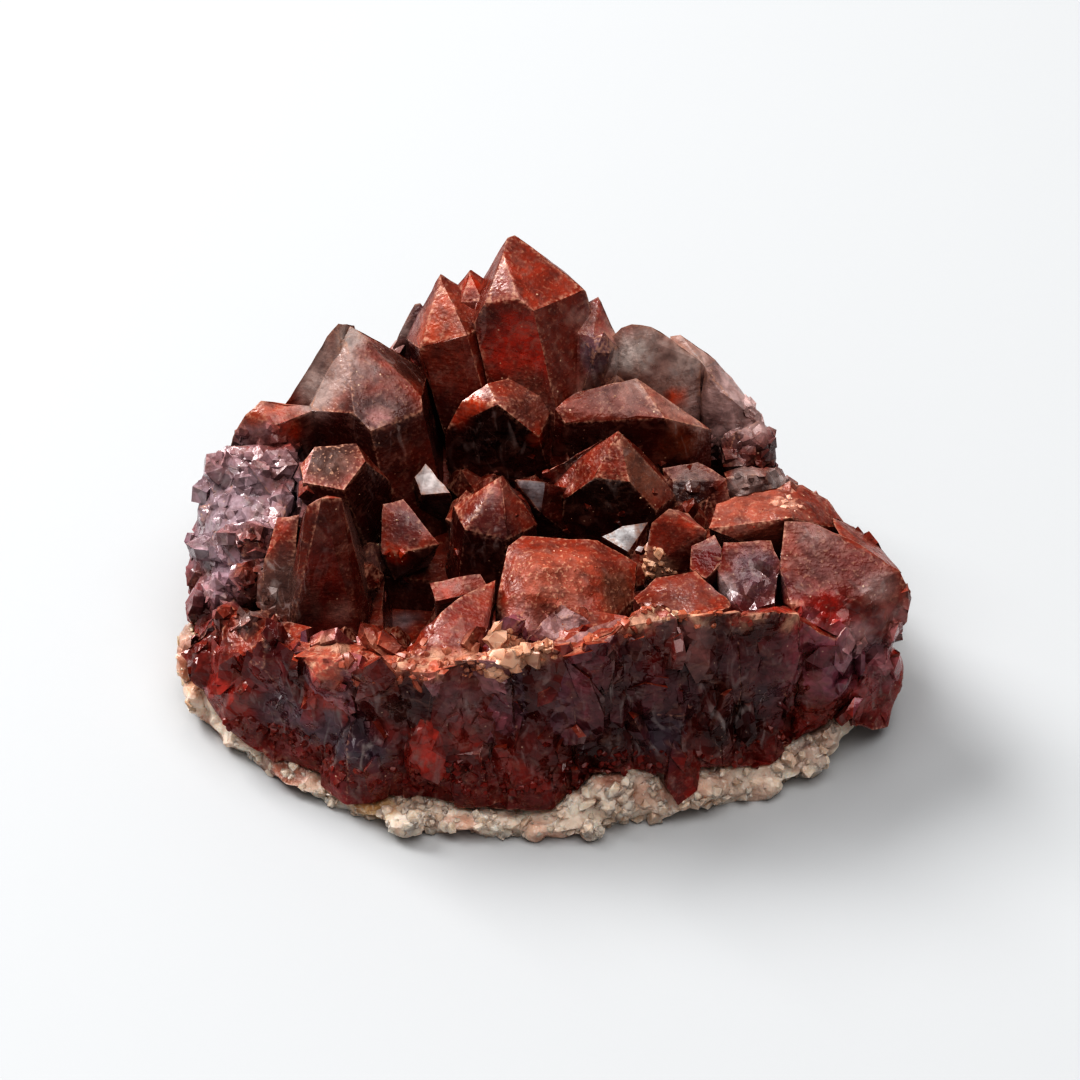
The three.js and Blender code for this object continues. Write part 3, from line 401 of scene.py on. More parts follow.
# Lays a list of places over the colour, clearness and dust of the corners
def paint(points, triangles, normals, layers, chosen):
    ragged = 1 + wave(points, raggedWaves[0], 3) + wave(points, raggedWaves[1], 5)
    for centre, radius, code, strength, clearHere, dustHere, facet in chosen:
        reach = np.linalg.norm(points - centre, axis=1) / radius * ragged
        share = (strength * (1 - smooth(0.35, 1.05, reach)))[triangles]
        touched = share.max(1) > 0
        if facet is not None:
            touched &= normals @ unit(np.array(facet)) > 0.95
        share = share[touched]
        for layer, goal in zip(layers, (linear(code), clearHere, dustHere)):
            part = share[..., None] if layer.ndim == 3 else share
            layer[touched] = blend(layer[touched], goal, part)


# The look of the quartz before the places are laid over it
body = {
    # steep and level facets: colour, clearness and dust
    "steep": ("deep", 0.08, 0.1),
    "level": ("#7e3522", 0, 0.4),
    # the back and the right flank: colour and its share, clearness and its share
    "back": ("mauve", 0.6, 0.5, 0.5),
    # flecks in the crust along the rim: colour, its share, how far from the rim in mm, and two waves
    "fleck": ("cream", 0.75, (1.2, 2.6), (0.8, 1.5), (0.7, 0.6)),
    # rust along the foot: colour, its share, dust, its heights in mm and the wave of its edge
    "rust": ("#7c1f14", 0.8, 0.3, (7.4, 4.8), (1.1, 1.8)),
    # how dark and how light a facet can be beside the others
    "tones": (0.85, 1.15),
}

# The broken wall round the front and at both ends
wall = {
    # where it is, in mm: behind y on the front, outside x and under z at the ends
    "front": (-12.5, -15.5),
    "ends": (27, 31),
    "top": (14, 11),
    # broken crystals: size in mm, seed and stretch
    "chips": (4.6, 34, (1, 1, 0.5)),
    # how far they stand out, how deep they are set in mm, and a wave over them (height and size in mm)
    "stand": 0.6,
    "set": 0.3,
    "wave": (0.3, 2.1),
    # each of them has a number from 0 to 1, and the last colour here whose least number it passes
    "colours": [
        (-1, "#561c18"),
        (0.25, "#7c2a20"),
        (0.42, "#2c0c0e"),
        (0.56, "#4c1a1a"),
        (0.68, "#664650"),
        (0.82, "#8c6468"),
        (0.93, "#a88480"),
    ],
    # broad clouds through them: darkest and brightest colour, size in mm and share
    "clouds": ("#300c10", "#80342a", 5, 0.3),
    # painted shade and painted light: how dark the hollows between the chips and how bright their tops are
    # painted
    "depth": (0.45, 1.35),
    # right of the middle: colour and share
    "right": ("#4c110d", 0.6),
    # how much lighter it is at the left and at the right end
    "lift": (0.5, 0.9),
    "clear": 0.14,
    "dust": 0.02,
    # how far its skin is a mosaic of small facets
    "mosaic": 0.75,
}


# 1 on the broken wall, 0 elsewhere
def wallShare(points, normals):
    facing = smooth(0.1, 0.6, -normals[..., 1]) * smooth(*wall["front"], points[..., 1])
    ends = smooth(*wall["ends"], np.abs(points[..., 0])) * smooth(*wall["top"], points[..., 2])
    return np.maximum(facing, ends * smooth(0.2, 0.6, np.abs(normals[..., 0])))


# Colour of the broken wall at each corner of each triangle: red, black, purple and greyish crystals, with
# painted shade in the hollows between the chips and painted light on their tops
def wallColour(points, triangles):
    corner = points[triangles]
    chip = facets(bent(corner.mean(1)), *wall["chips"])[1]
    chipColours = np.zeros((len(triangles), 3))
    for least, code in wall["colours"]:
        chipColours[chip > least] = linear(code)
    darkest, brightest, size, share = wall["clouds"]
    cloud = smooth(-0.4, 0.4, noise(points, size, 37))[triangles][..., None]
    colour = blend(chipColours[:, None], blend(linear(darkest), linear(brightest), cloud), share)
    # painted shade: the hollows between the chips are painted darker, and their tops are painted lighter as
    # painted light
    depth = smooth(-1.4, 0.9, facets(bent(points), *wall["chips"])[0])[triangles][..., None]
    colour = colour * blend(*wall["depth"], depth)
    code, share = wall["right"]
    right = share * smooth(0, 8, corner[..., 0]) * smooth(27, 22, corner[..., 0])
    colour = blend(colour, linear(code), right[..., None])
    left, end = wall["lift"]
    lift = 1 + left * smooth(8, -6, corner[..., 0]) + end * smooth(21, 27, corner[..., 0])
    return colour * lift[..., None]


# Colour, clearness and dust of the quartz at each corner of each triangle
def quartzLook(points, triangles, normals):
    corner = points[triangles]
    up = np.repeat(smooth(0.1, 0.75, normals[:, 2])[:, None], 3, 1)
    (steep, steepClear, steepDust), (level, levelClear, levelDust) = body["steep"], body["level"]
    colour = blend(linear(steep), linear(level), up[..., None])
    clear = blend(steepClear, levelClear, up)
    dust = blend(steepDust, levelDust, up)
    # the back and the right flank are smoky and mauve, like what shows over the top
    code, share, goal, clearShare = body["back"]
    behind = smooth(15, 23, corner[..., 1] + 0.35 * np.maximum(corner[..., 0], 0))
    behind = behind * smooth(30, 24, corner[..., 2])
    colour = blend(colour, linear(code), share * behind[..., None])
    clear = blend(clear, goal, clearShare * behind)
    onWall = wallShare(corner, np.repeat(normals[:, None], 3, 1))
    colour = blend(colour, wallColour(points, triangles), onWall[..., None])
    clear = blend(clear, wall["clear"], onWall)
    dust = blend(dust, wall["dust"], onWall)
    for chosen in (places, wallPlaces, rimPlaces):
        paint(points, triangles, normals, (colour, clear, dust), chosen)
    # flecks in the crust along the rim
    code, share, reach, broad, small = body["fleck"]
    rimDistance = np.min([np.linalg.norm(points - np.array(place[0]), axis=1) for place in rimPlaces], 0)
    patches = smooth(0, 0.35, wave(points, broad, 41) + wave(points, small, 42))
    fleck = ((1 - smooth(*reach, rimDistance)) * patches)[triangles]
    colour = blend(colour, linear(code), share * fleck[..., None])
    dust = blend(dust, 1, fleck)
    # red rust along the foot, just above the matrix
    code, share, goal, heights, edge = body["rust"]
    height = points[:, 2] + wave(points, edge, 8)
    foot = (smooth(*heights, height) * smooth(-4, -12, points[:, 1]))[triangles]
    colour = blend(colour, linear(code), share * foot[..., None])
    dust = blend(dust, goal, foot)
    # no two facets have quite the same tone
    colour = colour * blend(*body["tones"], chance(np.round(normals * 5), 0, 1))[..., None]
    return colour, clear, dust


# Colour, then clearness, dust and wear with painted edge highlights, then how far the skin is a mosaic of
# small facets
def cornerLayers(points, triangles, normals, style, ridge=None):
    colour, clear, dust = quartzLook(points, triangles, normals)
    one = np.ones(clear.shape)
    if ridge is None:
        edgeWearAndHighlight, grown = 0 * one, style["mosaic"] * one
    else:
        # sharp outward edges carry real wear and painted edge highlights
        edgeWearAndHighlight = ridge[triangles]
        shares = roughAt(points, vertexNormals(points, triangles)).T
        shares = shares * [wall["mosaic"], *(style["mosaic"] * place[4] for place in roughPlaces)]
        grown = np.minimum(shares.max(1), 1)[triangles]
    return {
        "tint": np.dstack([colour * style["shade"], one]),
        "skin": np.dstack([clear, dust, edgeWearAndHighlight, one]),
        "growth": np.dstack([grown, grown, grown, one]),
    }


crystals = {
    # longest edge of the mesh, in mm: on plain facets, where the surface is rough and where nobody looks
    "edges": (1.5, 0.66, 4),
    # heights of the relief and sizes of its waves, in mm
    "wave": (0.07, 3.2),
    "hillock": (0.06, 1.9),
    "pit": (0.04, 0.8),
    "rough": (0.16, 1.5),
    "grain": (0.1, 0.6),
    # how far ridges are worn down and valleys filled, in mm
    "wear": 0.12,
    "fill": 0.06,
    # the relief starts between these heights, in mm, so that the seam under the crystals stays as it is
    "seam": (2, 4.5),
    # how much brighter they are than the colours of the places
    "shade": 1.25,
    # how far the skin of a rough place is a mosaic, beside how far its small crystals stand out
    "mosaic": 2,
    # an edge that bends more than this many degrees stays sharp
    "crease": 26,
}

# Rough surfaces: centre and radius in mm, how rough, the size of the small crystals in mm and how far they
# stand out
roughPlaces = [
    ((-30, 1, 13), 10.5, 0.3, 3.2, 0.3),
    ((2, -11.5, 18), 5.5, 0.8, 2.2, 0.12),
    ((-14, -19, 16.6), 6, 1.0, 1.8, 0.45),
    ((-2, -20, 18.4), 5, 1.2, 1.8, 0.5),
    ((8, -18, 20.6), 6, 1.0, 1.8, 0.45),
    ((20, -16, 20.6), 6, 0.7, 2.0, 0.35),
    ((27, -16, 10), 8, 0.3, 3.0, 0.4),
    ((22, -3, 22), 5, 0.8, 2.0, 0.2),
    ((0, 4, 13), 9, 0.5, 2.0, 0.2),
    ((-14, 24, 12), 12, 0.3, 4.0, 0.4),
    ((6, 25, 12), 12, 0.3, 4.0, 0.4),
    ((26, 12, 9), 12, 0.3, 3.4, 0.4),
    ((-27, 14, 10), 8, 0.3, 3.0, 0.4),
]


# 1 where the surface is rough, 0 where it is plain
def roughAt(points, normals):
    shares = [wallShare(points, normals)]
    for centre, radius, *_ in roughPlaces:
        shares.append(1 - smooth(0.6, 1, np.linalg.norm(points - centre, axis=1) / radius))
    return np.array(shares)


def relief(points, triangles, style):
    normals = vertexNormals(points, triangles)
    ridge, valley = sharpness(points, triangles)
    height = wave(points, style["wave"], 1) + wave(points, style["pit"], 2)
    # growth hillocks rise in terraces
    hillockHeight, hillockSize = style["hillock"]
    steps = noise(points, hillockSize, 9)
    height += hillockHeight * (np.floor(3 * steps) / 3 + 0.3 * steps)
    free = smooth(*style["seam"], points[:, 2])
    shares = roughAt(points, normals)
    chips = wall["stand"] * facets(bent(points), *wall["chips"])[0]
    chips += wave(points, wall["wave"], 35) - wall["set"]
    height += shares[0] * free * chips
    # rough places are crumbly and grown over with small crystals, where the wall's chips leave room
    crumbly = wave(points, style["rough"], 4) + wave(points, style["grain"], 6)
    for share, (centre, radius, rough, size, growth) in zip(shares[1:], roughPlaces):
        near = np.linalg.norm(points - centre, axis=1) < radius
        share = share[near] * free[near] * (1 - 0.7 * shares[0][near])
        grown = facets(points[near], size, 36)[0] - 0.1 * size
        height[near] += share * (rough * crumbly[near] + growth * grown)
    height -= ridge * style["wear"] * (0.7 + 0.6 * noise(points, 0.9, 7))
    height += valley * style["fill"]
    return points + normals * height[:, None], ridge


# How long an edge may be on the crystals, from its place and its normal
def crystalEdge(middle):
    plain, fine, unseen = crystals["edges"]
    points, normals = middle[:, :3], unit(middle[:, 3:])
    length = plain + (fine - plain) * smooth(0.02, 0.3, roughAt(points, normals).max(0))
    return np.where((normals[:, 2] < -0.6) & (points[:, 2] < 9), unseen, length)


# Refines a node's mesh where it needs it
def refineNode(name, edgeAt):
    points, triangles = readNode(name)
    both, triangles = refine(np.hstack([points, vertexNormals(points, triangles)]), triangles, edgeAt)
    return both[:, :3], triangles


points, triangles = refineNode("crystal_cluster", crystalEdge)
print("crystals", len(triangles), "triangles")
flatNormals = unit(faceNormals(points, triangles))
carved, ridge = relief(points, triangles, crystals)
carved = keepInside(carved)
layers = cornerLayers(points, triangles, flatNormals, crystals, ridge)
crystalPiece = makeMesh("crystals", carved, triangles, layers, crystals["crease"])
print("crystals made")


druse = {
    # centre, radius and how many points, with their smallest and largest radius in mm
    "beds": [
        ((-31, 2, 13), 10.5, 320, 0.6, 1.9),
        ((-29, -6, 13), 5.5, 60, 0.5, 1.4),
        ((0, 2, 13), 8, 40, 0.3, 1.0),
        ((14, 3, 13), 7, 40, 0.3, 1.1),
        ((24, 5, 11), 7, 80, 0.4, 1.2),
        ((-12, -4, 8), 7, 50, 0.3, 0.9),
        ((-14, 25, 10), 12, 300, 0.5, 1.6),
        ((6, 25, 10), 12, 300, 0.5, 1.6),
        ((24, 16, 8), 10, 240, 0.5, 1.5),
        ((-27, 14, 9), 9, 180, 0.5, 1.5),
    ],
    # in radii: height, depth of the foot and how far the point is sunk into the stone
    "height": 0.66,
    "foot": 0.7,
    "sunk": 0.3,
    # heights of the shoulders, as a share of the whole height
    "shoulder": (0.0, 0.4),
    # how wide it is one way, beside the other
    "stretch": (0.9, 1.3),
    # how far it leans, and how much its long way is upright
    "tilt": 0.22,
    "upright": 0,
    # height in mm under which none is set
    "lowest": 5.5,
    "shade": 1.3,
    "mosaic": 0.8,
    "crease": 10,
}

# Broken crystals that show as chips in the wall, in the same form
shards = {
    "beds": [
        ((-30, -10, 9), 8, 60, 0.4, 1.5),
        ((-22, -20, 9), 8, 50, 0.4, 2.0),
        ((-10, -22, 11), 9, 55, 0.4, 2.0),
        ((3, -22, 11), 9, 55, 0.4, 2.0),
        ((15, -21, 12), 9, 50, 0.4, 2.0),
        ((26, -18, 12), 9, 45, 0.4, 2.0),
        ((33, -6, 12), 9, 60, 0.4, 1.5),
    ],
    "height": 0.42,
    "foot": 0.5,
    "sunk": 0.24,
    "shoulder": (-0.2, 0.6),
    "stretch": (1.2, 2.4),
    "tilt": 0.16,
    "upright": 2.5,
    "lowest": 5,
    "shade": 1.35,
    "mosaic": 0.8,
    "crease": 10,
}

# What all small points share: how uneven their angles are in radians, how much their heights vary and, in
# radii, how far the tip is off the middle and how wide the foot is
pointShape = {"turn": 0.2, "heights": (0.7, 1.1), "tip": 0.35, "foot": 0.8}


# A six-sided point on its own axis, with a closed foot
def pointSolid(radius, style):
    turn, tip = pointShape["turn"], pointShape["tip"]
    angles = np.arange(6) * math.pi / 3 + random.uniform(-turn, turn, size=6)
    ring = np.column_stack([np.cos(angles) * random.uniform(*style["stretch"]), np.sin(angles)]) * radius
    height = radius * style["height"] * random.uniform(*pointShape["heights"])
    foot = np.column_stack([ring * pointShape["foot"], np.full(6, -style["foot"] * radius)])
    shoulder = np.column_stack([ring, height * random.uniform(*style["shoulder"], size=6)])
    corners = np.vstack([foot, shoulder, [[random.uniform(-tip, tip) * radius, 0, height]]])
    faces = []
    for k in range(6):
        n = (k + 1) % 6
        faces += [(k, n, 6 + n), (k, 6 + n, 6 + k), (6 + k, 6 + n, 12)]
    faces += [(0, k + 1, k) for k in range(1, 5)]
    return corners, np.array(faces)


# Turns the z axis to a direction and the x axis as near as can be to another one
def turnTo(direction, along):
    z = unit(direction)
    x = unit(along - (along @ z) * z)
    return np.column_stack([x, np.cross(z, x), z])


# Chance places on the part of the surface that lies near a centre, in a flat zone where flatness is over 1
def sampleOn(points, triangles, centre, radius, count, flatness=1):
    normals = faceNormals(points, triangles)
    centres = points[triangles].mean(1)
    near = np.linalg.norm((centres - centre) * [1, 1, flatness], axis=1) < radius
    near &= normals[:, 2] > -0.5 * np.linalg.norm(normals, axis=1)  # not under overhangs
    area = np.linalg.norm(normals, axis=1) * near
    chosen = random.choice(len(triangles), size=count, p=area / area.sum())
    return centres[chosen], unit(normals[chosen])


def growDruse(style):
    allPoints, allTriangles, start = [], [], 0
    for centre, radius, count, smallest, largest in style["beds"]:
        spots, normals = sampleOn(carved, triangles, centre, radius, count)
        for spot, normal in zip(spots, normals):
            if spot[2] < style["lowest"]:
                continue
            size = smallest + (largest - smallest) * random.random() ** 2
            corners, faces = pointSolid(size, style)
            direction = normal + style["tilt"] * random.normal(size=3)
            along = random.normal(size=3) + [0, 0, style["upright"]]
            corners = corners @ turnTo(direction, along).T + spot - normal * size * style["sunk"]
            allPoints.append(corners)
            allTriangles.append(faces + start)
            start += len(corners)
    return keepInside(np.vstack(allPoints)), np.vstack(allTriangles)


def drusePieceOf(name, style):
    grown, grownTriangles = growDruse(style)
    print(name, len(grownTriangles), "triangles")
    normals = unit(faceNormals(grown, grownTriangles))
    grownLayers = cornerLayers(grown, grownTriangles, normals, style)
    return makeMesh(name, grown, grownTriangles, grownLayers, style["crease"])


drusePiece = drusePieceOf("druse", druse)
shardPiece = drusePieceOf("shards", shards)


crumbs = {
    # centre, radius and how many, their smallest and largest radius in mm, and their colour
    "beds": [
        ((-2.2, -20, 18.5), 2, 14, 0.9, 1.6, "#cba48e"),
        ((-3, -20, 18.2), 2.6, 46, 0.4, 1.1, "#cda28a"),
        ((-0.4, -20.3, 18.8), 2.2, 26, 0.3, 0.9, "#c6967c"),
        ((3.4, -20, 19.6), 2.2, 20, 0.25, 0.7, "#b07058"),
        ((-6.6, -20, 17.8), 2.2, 26, 0.2, 0.7, "#b47c66"),
        ((-10.6, -20.4, 17.4), 2.6, 30, 0.3, 0.8, "#a06450"),
        ((-15, -19, 17), 3.4, 34, 0.3, 0.8, "#9c5c4a"),
        ((8.4, -18, 21.4), 2.4, 26, 0.25, 0.7, "#a4604c"),
        ((11.2, -17.8, 22), 1.6, 14, 0.2, 0.6, "#d6b096"),
        ((14.6, -17.8, 21.8), 2.4, 30, 0.2, 0.6, "#b06a50"),
        ((18.4, -17, 21.2), 2.2, 16, 0.2, 0.5, "#8a3a2a"),
        ((11, -9, 17.4), 2.4, 40, 0.25, 0.8, "#c39a80"),
        ((-13, -1, 14), 3, 16, 0.12, 0.3, "#d8c2a8"),
        ((2, -12, 18.4), 5, 120, 0.06, 0.2, "#b8735a"),
        ((6, 3, 17), 6, 50, 0.06, 0.16, "#c8a488"),
        ((7, 9, 21), 7, 50, 0.05, 0.15, "#c8a488"),
        ((-20, 2, 20), 5, 40, 0.05, 0.14, "#c8a488"),
        ((23.5, -4.6, 22.2), 1.8, 16, 0.2, 0.7, "#d9a894"),
        ((20, -3.4, 22), 5, 40, 0.1, 0.3, "#a8584a"),
    ],
    # rusty grains along the foot of the wall
    "foot": [
        ((-22, -20, 5.2), 8, 120, 0.2, 0.6, "#6e2015"),
        ((-8, -23, 5.6), 8, 130, 0.2, 0.6, "#701c12"),
        ((8, -23, 5.6), 9, 130, 0.2, 0.6, "#6a1a10"),
        ((22, -19, 5.8), 9, 100, 0.2, 0.6, "#702418"),
    ],
    # grains over this radius in mm are rounder
    "roundOver": 0.3,
    # how uneven a grain is, its width and its height, in radii
    "uneven": (0.6, 1.25),
    "width": (0.6, 1),
    "height": (0.5, 0.9),
    # how dark and how light a grain can be beside its colour
    "shades": (0.75, 1.2),
    # how far it is sunk into the stone, in radii
    "sunk": 0.15,
    # height in mm of the lowest corner, so that none pokes through the cut underside
    "lowest": 0.02,
    "crease": 30,
}


# An uneven rounded grain: an eight-sided solid, halved once where it is large enough to see
def crumbSolid(radius):
    corners = np.array([(1, 0, 0), (-1, 0, 0), (0, 1, 0), (0, -1, 0), (0, 0, 1), (0, 0, -1)], float)
    faces = np.array([(0, 2, 4), (2, 1, 4), (1, 3, 4), (3, 0, 4), (2, 0, 5), (1, 2, 5), (3, 1, 5), (0, 3, 5)])
    if radius > crumbs["roundOver"]:
        corners, faces = refine(corners, faces, lambda middle: 1.0)
        corners = unit(corners)
    corners = corners * radius * random.uniform(*crumbs["uneven"], size=(len(corners), 1))
    return corners * [1, random.uniform(*crumbs["width"]), random.uniform(*crumbs["height"])], faces


def scatterCrumbs(beds, points, triangles, flatness=1):
    allPoints, allTriangles, allColours, start = [], [], [], 0
    for centre, radius, count, smallest, largest, code in beds:
        spots, normals = sampleOn(points, triangles, centre, radius, count, flatness)
        for spot, normal in zip(spots, normals):
            size = smallest + (largest - smallest) * random.random() ** 2
            corners, faces = crumbSolid(size)
            middle = spot - normal * size * crumbs["sunk"]
            corners = corners @ turnTo(normal, random.normal(size=3)).T + middle
            shade = linear(code) * random.uniform(*crumbs["shades"])
            allPoints.append(corners)
            allTriangles.append(faces + start)
            allColours.append(np.tile([*shade, 1], (len(faces), 3, 1)))
            start += len(corners)
    return keepInside(np.vstack(allPoints)), np.vstack(allTriangles), {"tint": np.vstack(allColours)}


def crumbPieceOf(name, beds, points, triangles, flatness=1):
    grains, grainTriangles, layers = scatterCrumbs(beds, points, triangles, flatness)
    grains[:, 2] = np.maximum(grains[:, 2], crumbs["lowest"])
    print(name, len(grainTriangles), "triangles")
    return makeMesh(name, grains, grainTriangles, layers, crumbs["crease"])


crumbPiece = crumbPieceOf("crumbs", crumbs["beds"], carved, triangles)
footPiece = crumbPieceOf("foot_grains", crumbs["foot"], carved, triangles, 4)


matrix = {
    # longest edge of the mesh, in mm: outside and where nobody looks
    "edges": (0.6, 4),
    # heights of the relief and sizes of its waves, in mm
    "lump": (0.25, 2.2),
    "grain": (0.2, 0.8),
    # size of its small crystals in mm and how far they stand out
    "growth": (1.7, 0.5),
    # the relief starts from the cut underside and is whole at this height, in mm
    "base": 0.5,
    "colour": "#f6e6d6",
    # a blush in patches: colour, share and size in mm
    "blush": ("#d8aa96", 0.7, 3.4),
    # rust near the crystals: colour, share, its heights in mm and the wave of its edge
    "rust": ("#87402f", 0.6, (3.4, 5.8), (1.2, 1.1)),
    # how much of the relief moves corners up or down
    "upward": 0.5,
    # half widths in mm of the oval seam under the crystals, where nobody looks
    "seam": (28.7, 22.796),
    "crease": 30,
    # loose grains, in the form of the crumbs
    "grains": [
        ((-18, -21, 3), 12, 240, 0.25, 0.9, "#ecd6c4"),
        ((0, -24, 3), 12, 320, 0.25, 1.0, "#ecd5c2"),
        ((16, -21, 3), 13, 320, 0.25, 1.0, "#e8d0be"),
        ((28, 6, 3), 14, 240, 0.25, 0.9, "#d4bfae"),
        ((0, 22, 3), 26, 460, 0.25, 0.9, "#d4bfae"),
        ((-32, 0, 3), 14, 280, 0.25, 0.8, "#d6b89c"),
    ],
}

# Places on the matrix, in the same form
matrixPlaces = [
    ((-15.5, -24.8, 1.8), 2.6, "#cf9a48", 0.7, 0, 0, None),
    ((-32.9, -11.2, 5.3), 3, "#c58a5c", 0.6, 0, 0, None),
    ((25.7, -19.6, 3.3), 3.6, "#b8a49a", 0.7, 0, 0, None),
    ((-24, -19, 2), 4, "#8f4c3c", 0.7, 0, 0, None),
    ((20, -22, 2), 5, "#cdb2a2", 0.5, 0, 0, None),
]


def matrixLook(points, triangles, normals):
    colour = np.tile(linear(matrix["colour"]), (len(triangles), 3, 1))
    code, share, size = matrix["blush"]
    blush = smooth(-0.1, 0.5, noise(points, size, 12))[triangles][..., None]
    colour = blend(colour, linear(code), share * blush)
    # its places lay down a colour only
    paint(points, triangles, normals, (colour,), matrixPlaces)
    code, share, heights, edge = matrix["rust"]
    rust = smooth(*heights, points[:, 2] + wave(points, edge, 14))[triangles][..., None]
    colour = blend(colour, linear(code), share * rust)
    return {"tint": np.dstack([colour, np.ones(colour.shape[:2])])}


# How long an edge may be: fine on the outside, coarse on the cut and in the seam under the crystals
def matrixEdge(middle):
    width, depth = matrix["seam"]
    fine, unseen = matrix["edges"]
    hidden = (np.hypot(middle[:, 0] / width, middle[:, 1] / depth) < 1) | (middle[:, 2] < 0.01)
    return np.where(hidden, unseen, fine)


matrixPoints, matrixTriangles = refineNode("matrix", matrixEdge)
matrixNormals = vertexNormals(matrixPoints, matrixTriangles)
height = wave(matrixPoints, matrix["lump"], 21) + wave(matrixPoints, matrix["grain"], 22)
grainSize, grainStand = matrix["growth"]
height += grainStand * (facets(matrixPoints, grainSize, 23)[0] - 0.3)
# the cut underside stays flat
height *= smooth(0, matrix["base"], matrixPoints[:, 2])
matrixShape = keepInside(matrixPoints + matrixNormals * height[:, None] * [1, 1, matrix["upward"]])
matrixShape[:, 2] = np.maximum(matrixShape[:, 2], 0)
matrixShape[matrixPoints[:, 2] < 0.001, 2] = 0
flatNormals = unit(faceNormals(matrixPoints, matrixTriangles))
matrixLayers = matrixLook(matrixPoints, matrixTriangles, flatNormals)
print("matrix", len(matrixTriangles), "triangles")
matrixPiece = makeMesh("matrix_stone", matrixShape, matrixTriangles, matrixLayers, matrix["crease"])
grainPiece = crumbPieceOf("matrix_grains", matrix["grains"], matrixShape, matrixTriangles)


# Adds a shader node. A key that names a field of the node sets the field. Any other key is an input, by name
# or by number, which takes a value, an output of another node, or a node, whose first output is meant.
def addNode(tree, kind, settings):
    node = tree.nodes.new("ShaderNode" + kind)
    for key, value in settings.items():
        if isinstance(value, bpy.types.Node):
            value = value.outputs[0]
        if isinstance(value, bpy.types.NodeSocket):
            tree.links.new(value, node.inputs[key])
        elif isinstance(key, int) or key in node.inputs:
            node.inputs[key].default_value = value
        else:
            setattr(node, key, value)
    return node


def colourOf(code):
    return (*linear(code), 1)


def newMaterial(name):
    material = bpy.data.materials.new(name)
    material.use_nodes = True
    material.node_tree.nodes.clear()
    return material, material.node_tree


# What a finish is made from: places in metres, the painted colour, and patterns of noise. Each pattern has
# the width of its blobs in mm, its detail, its distortion, and how its places are scaled along x, y and z.
def sourcesOf(tree, patterns):
    place = addNode(tree, "TexCoord", {}).outputs["Object"]
    sources = {"place": place, "tint": addNode(tree, "Attribute", {"attribute_name": "tint"})}
    for name, (size, detail, distortion, scale) in patterns.items():
        scaled = addNode(tree, "Mapping", {"Vector": place, "Scale": scale}) if scale else place
        settings = {"Vector": scaled, "Scale": 1 / (size * mm), "Detail": detail, "Distortion": distortion}
        sources[name] = addNode(tree, "TexNoise", settings)
    return sources


# The product of some sources. Each is read as it is, or from low to high as a value from first to last.
def readings(tree, sources, reads):
    product = None
    for name, *span in reads:
        reading = sources[name]
        if span:
            low, high, first, last = span
            settings = {"Value": reading, "From Min": low, "From Max": high, "To Min": first, "To Max": last}
            reading = addNode(tree, "MapRange", settings)
        if product is None:
            product = reading
        else:
            product = addNode(tree, "Math", {"operation": "MULTIPLY", 0: product, 1: reading})
    return product


# The painted colour under its layers. Each layer has the readings that say how far it covers, and a colour.
def layered(tree, sources, layers):
    colour = sources["tint"]
    for reads, code in layers:
        settings = {"data_type": "RGBA", 0: readings(tree, sources, reads), 6: colour, 7: colourOf(code)}
        colour = addNode(tree, "Mix", settings).outputs[2]
    return colour


# Small flat crystals about size millimetres wide: their cells, and their height when each is tilted
def tiltedCells(tree, place, size):
    cells = addNode(tree, "TexVoronoi", {"Vector": place, "Scale": 1 / (size * mm)})
    middle, colour = cells.outputs["Position"], cells.outputs["Color"]
    away = addNode(tree, "VectorMath", {"operation": "SUBTRACT", 0: place, 1: middle})
    lean = addNode(tree, "VectorMath", {"operation": "SUBTRACT", 0: colour, 1: (0.5, 0.5, 0.5)})
    height = addNode(tree, "VectorMath", {"operation": "DOT_PRODUCT", 0: away, 1: lean})
    return cells, height.outputs["Value"]


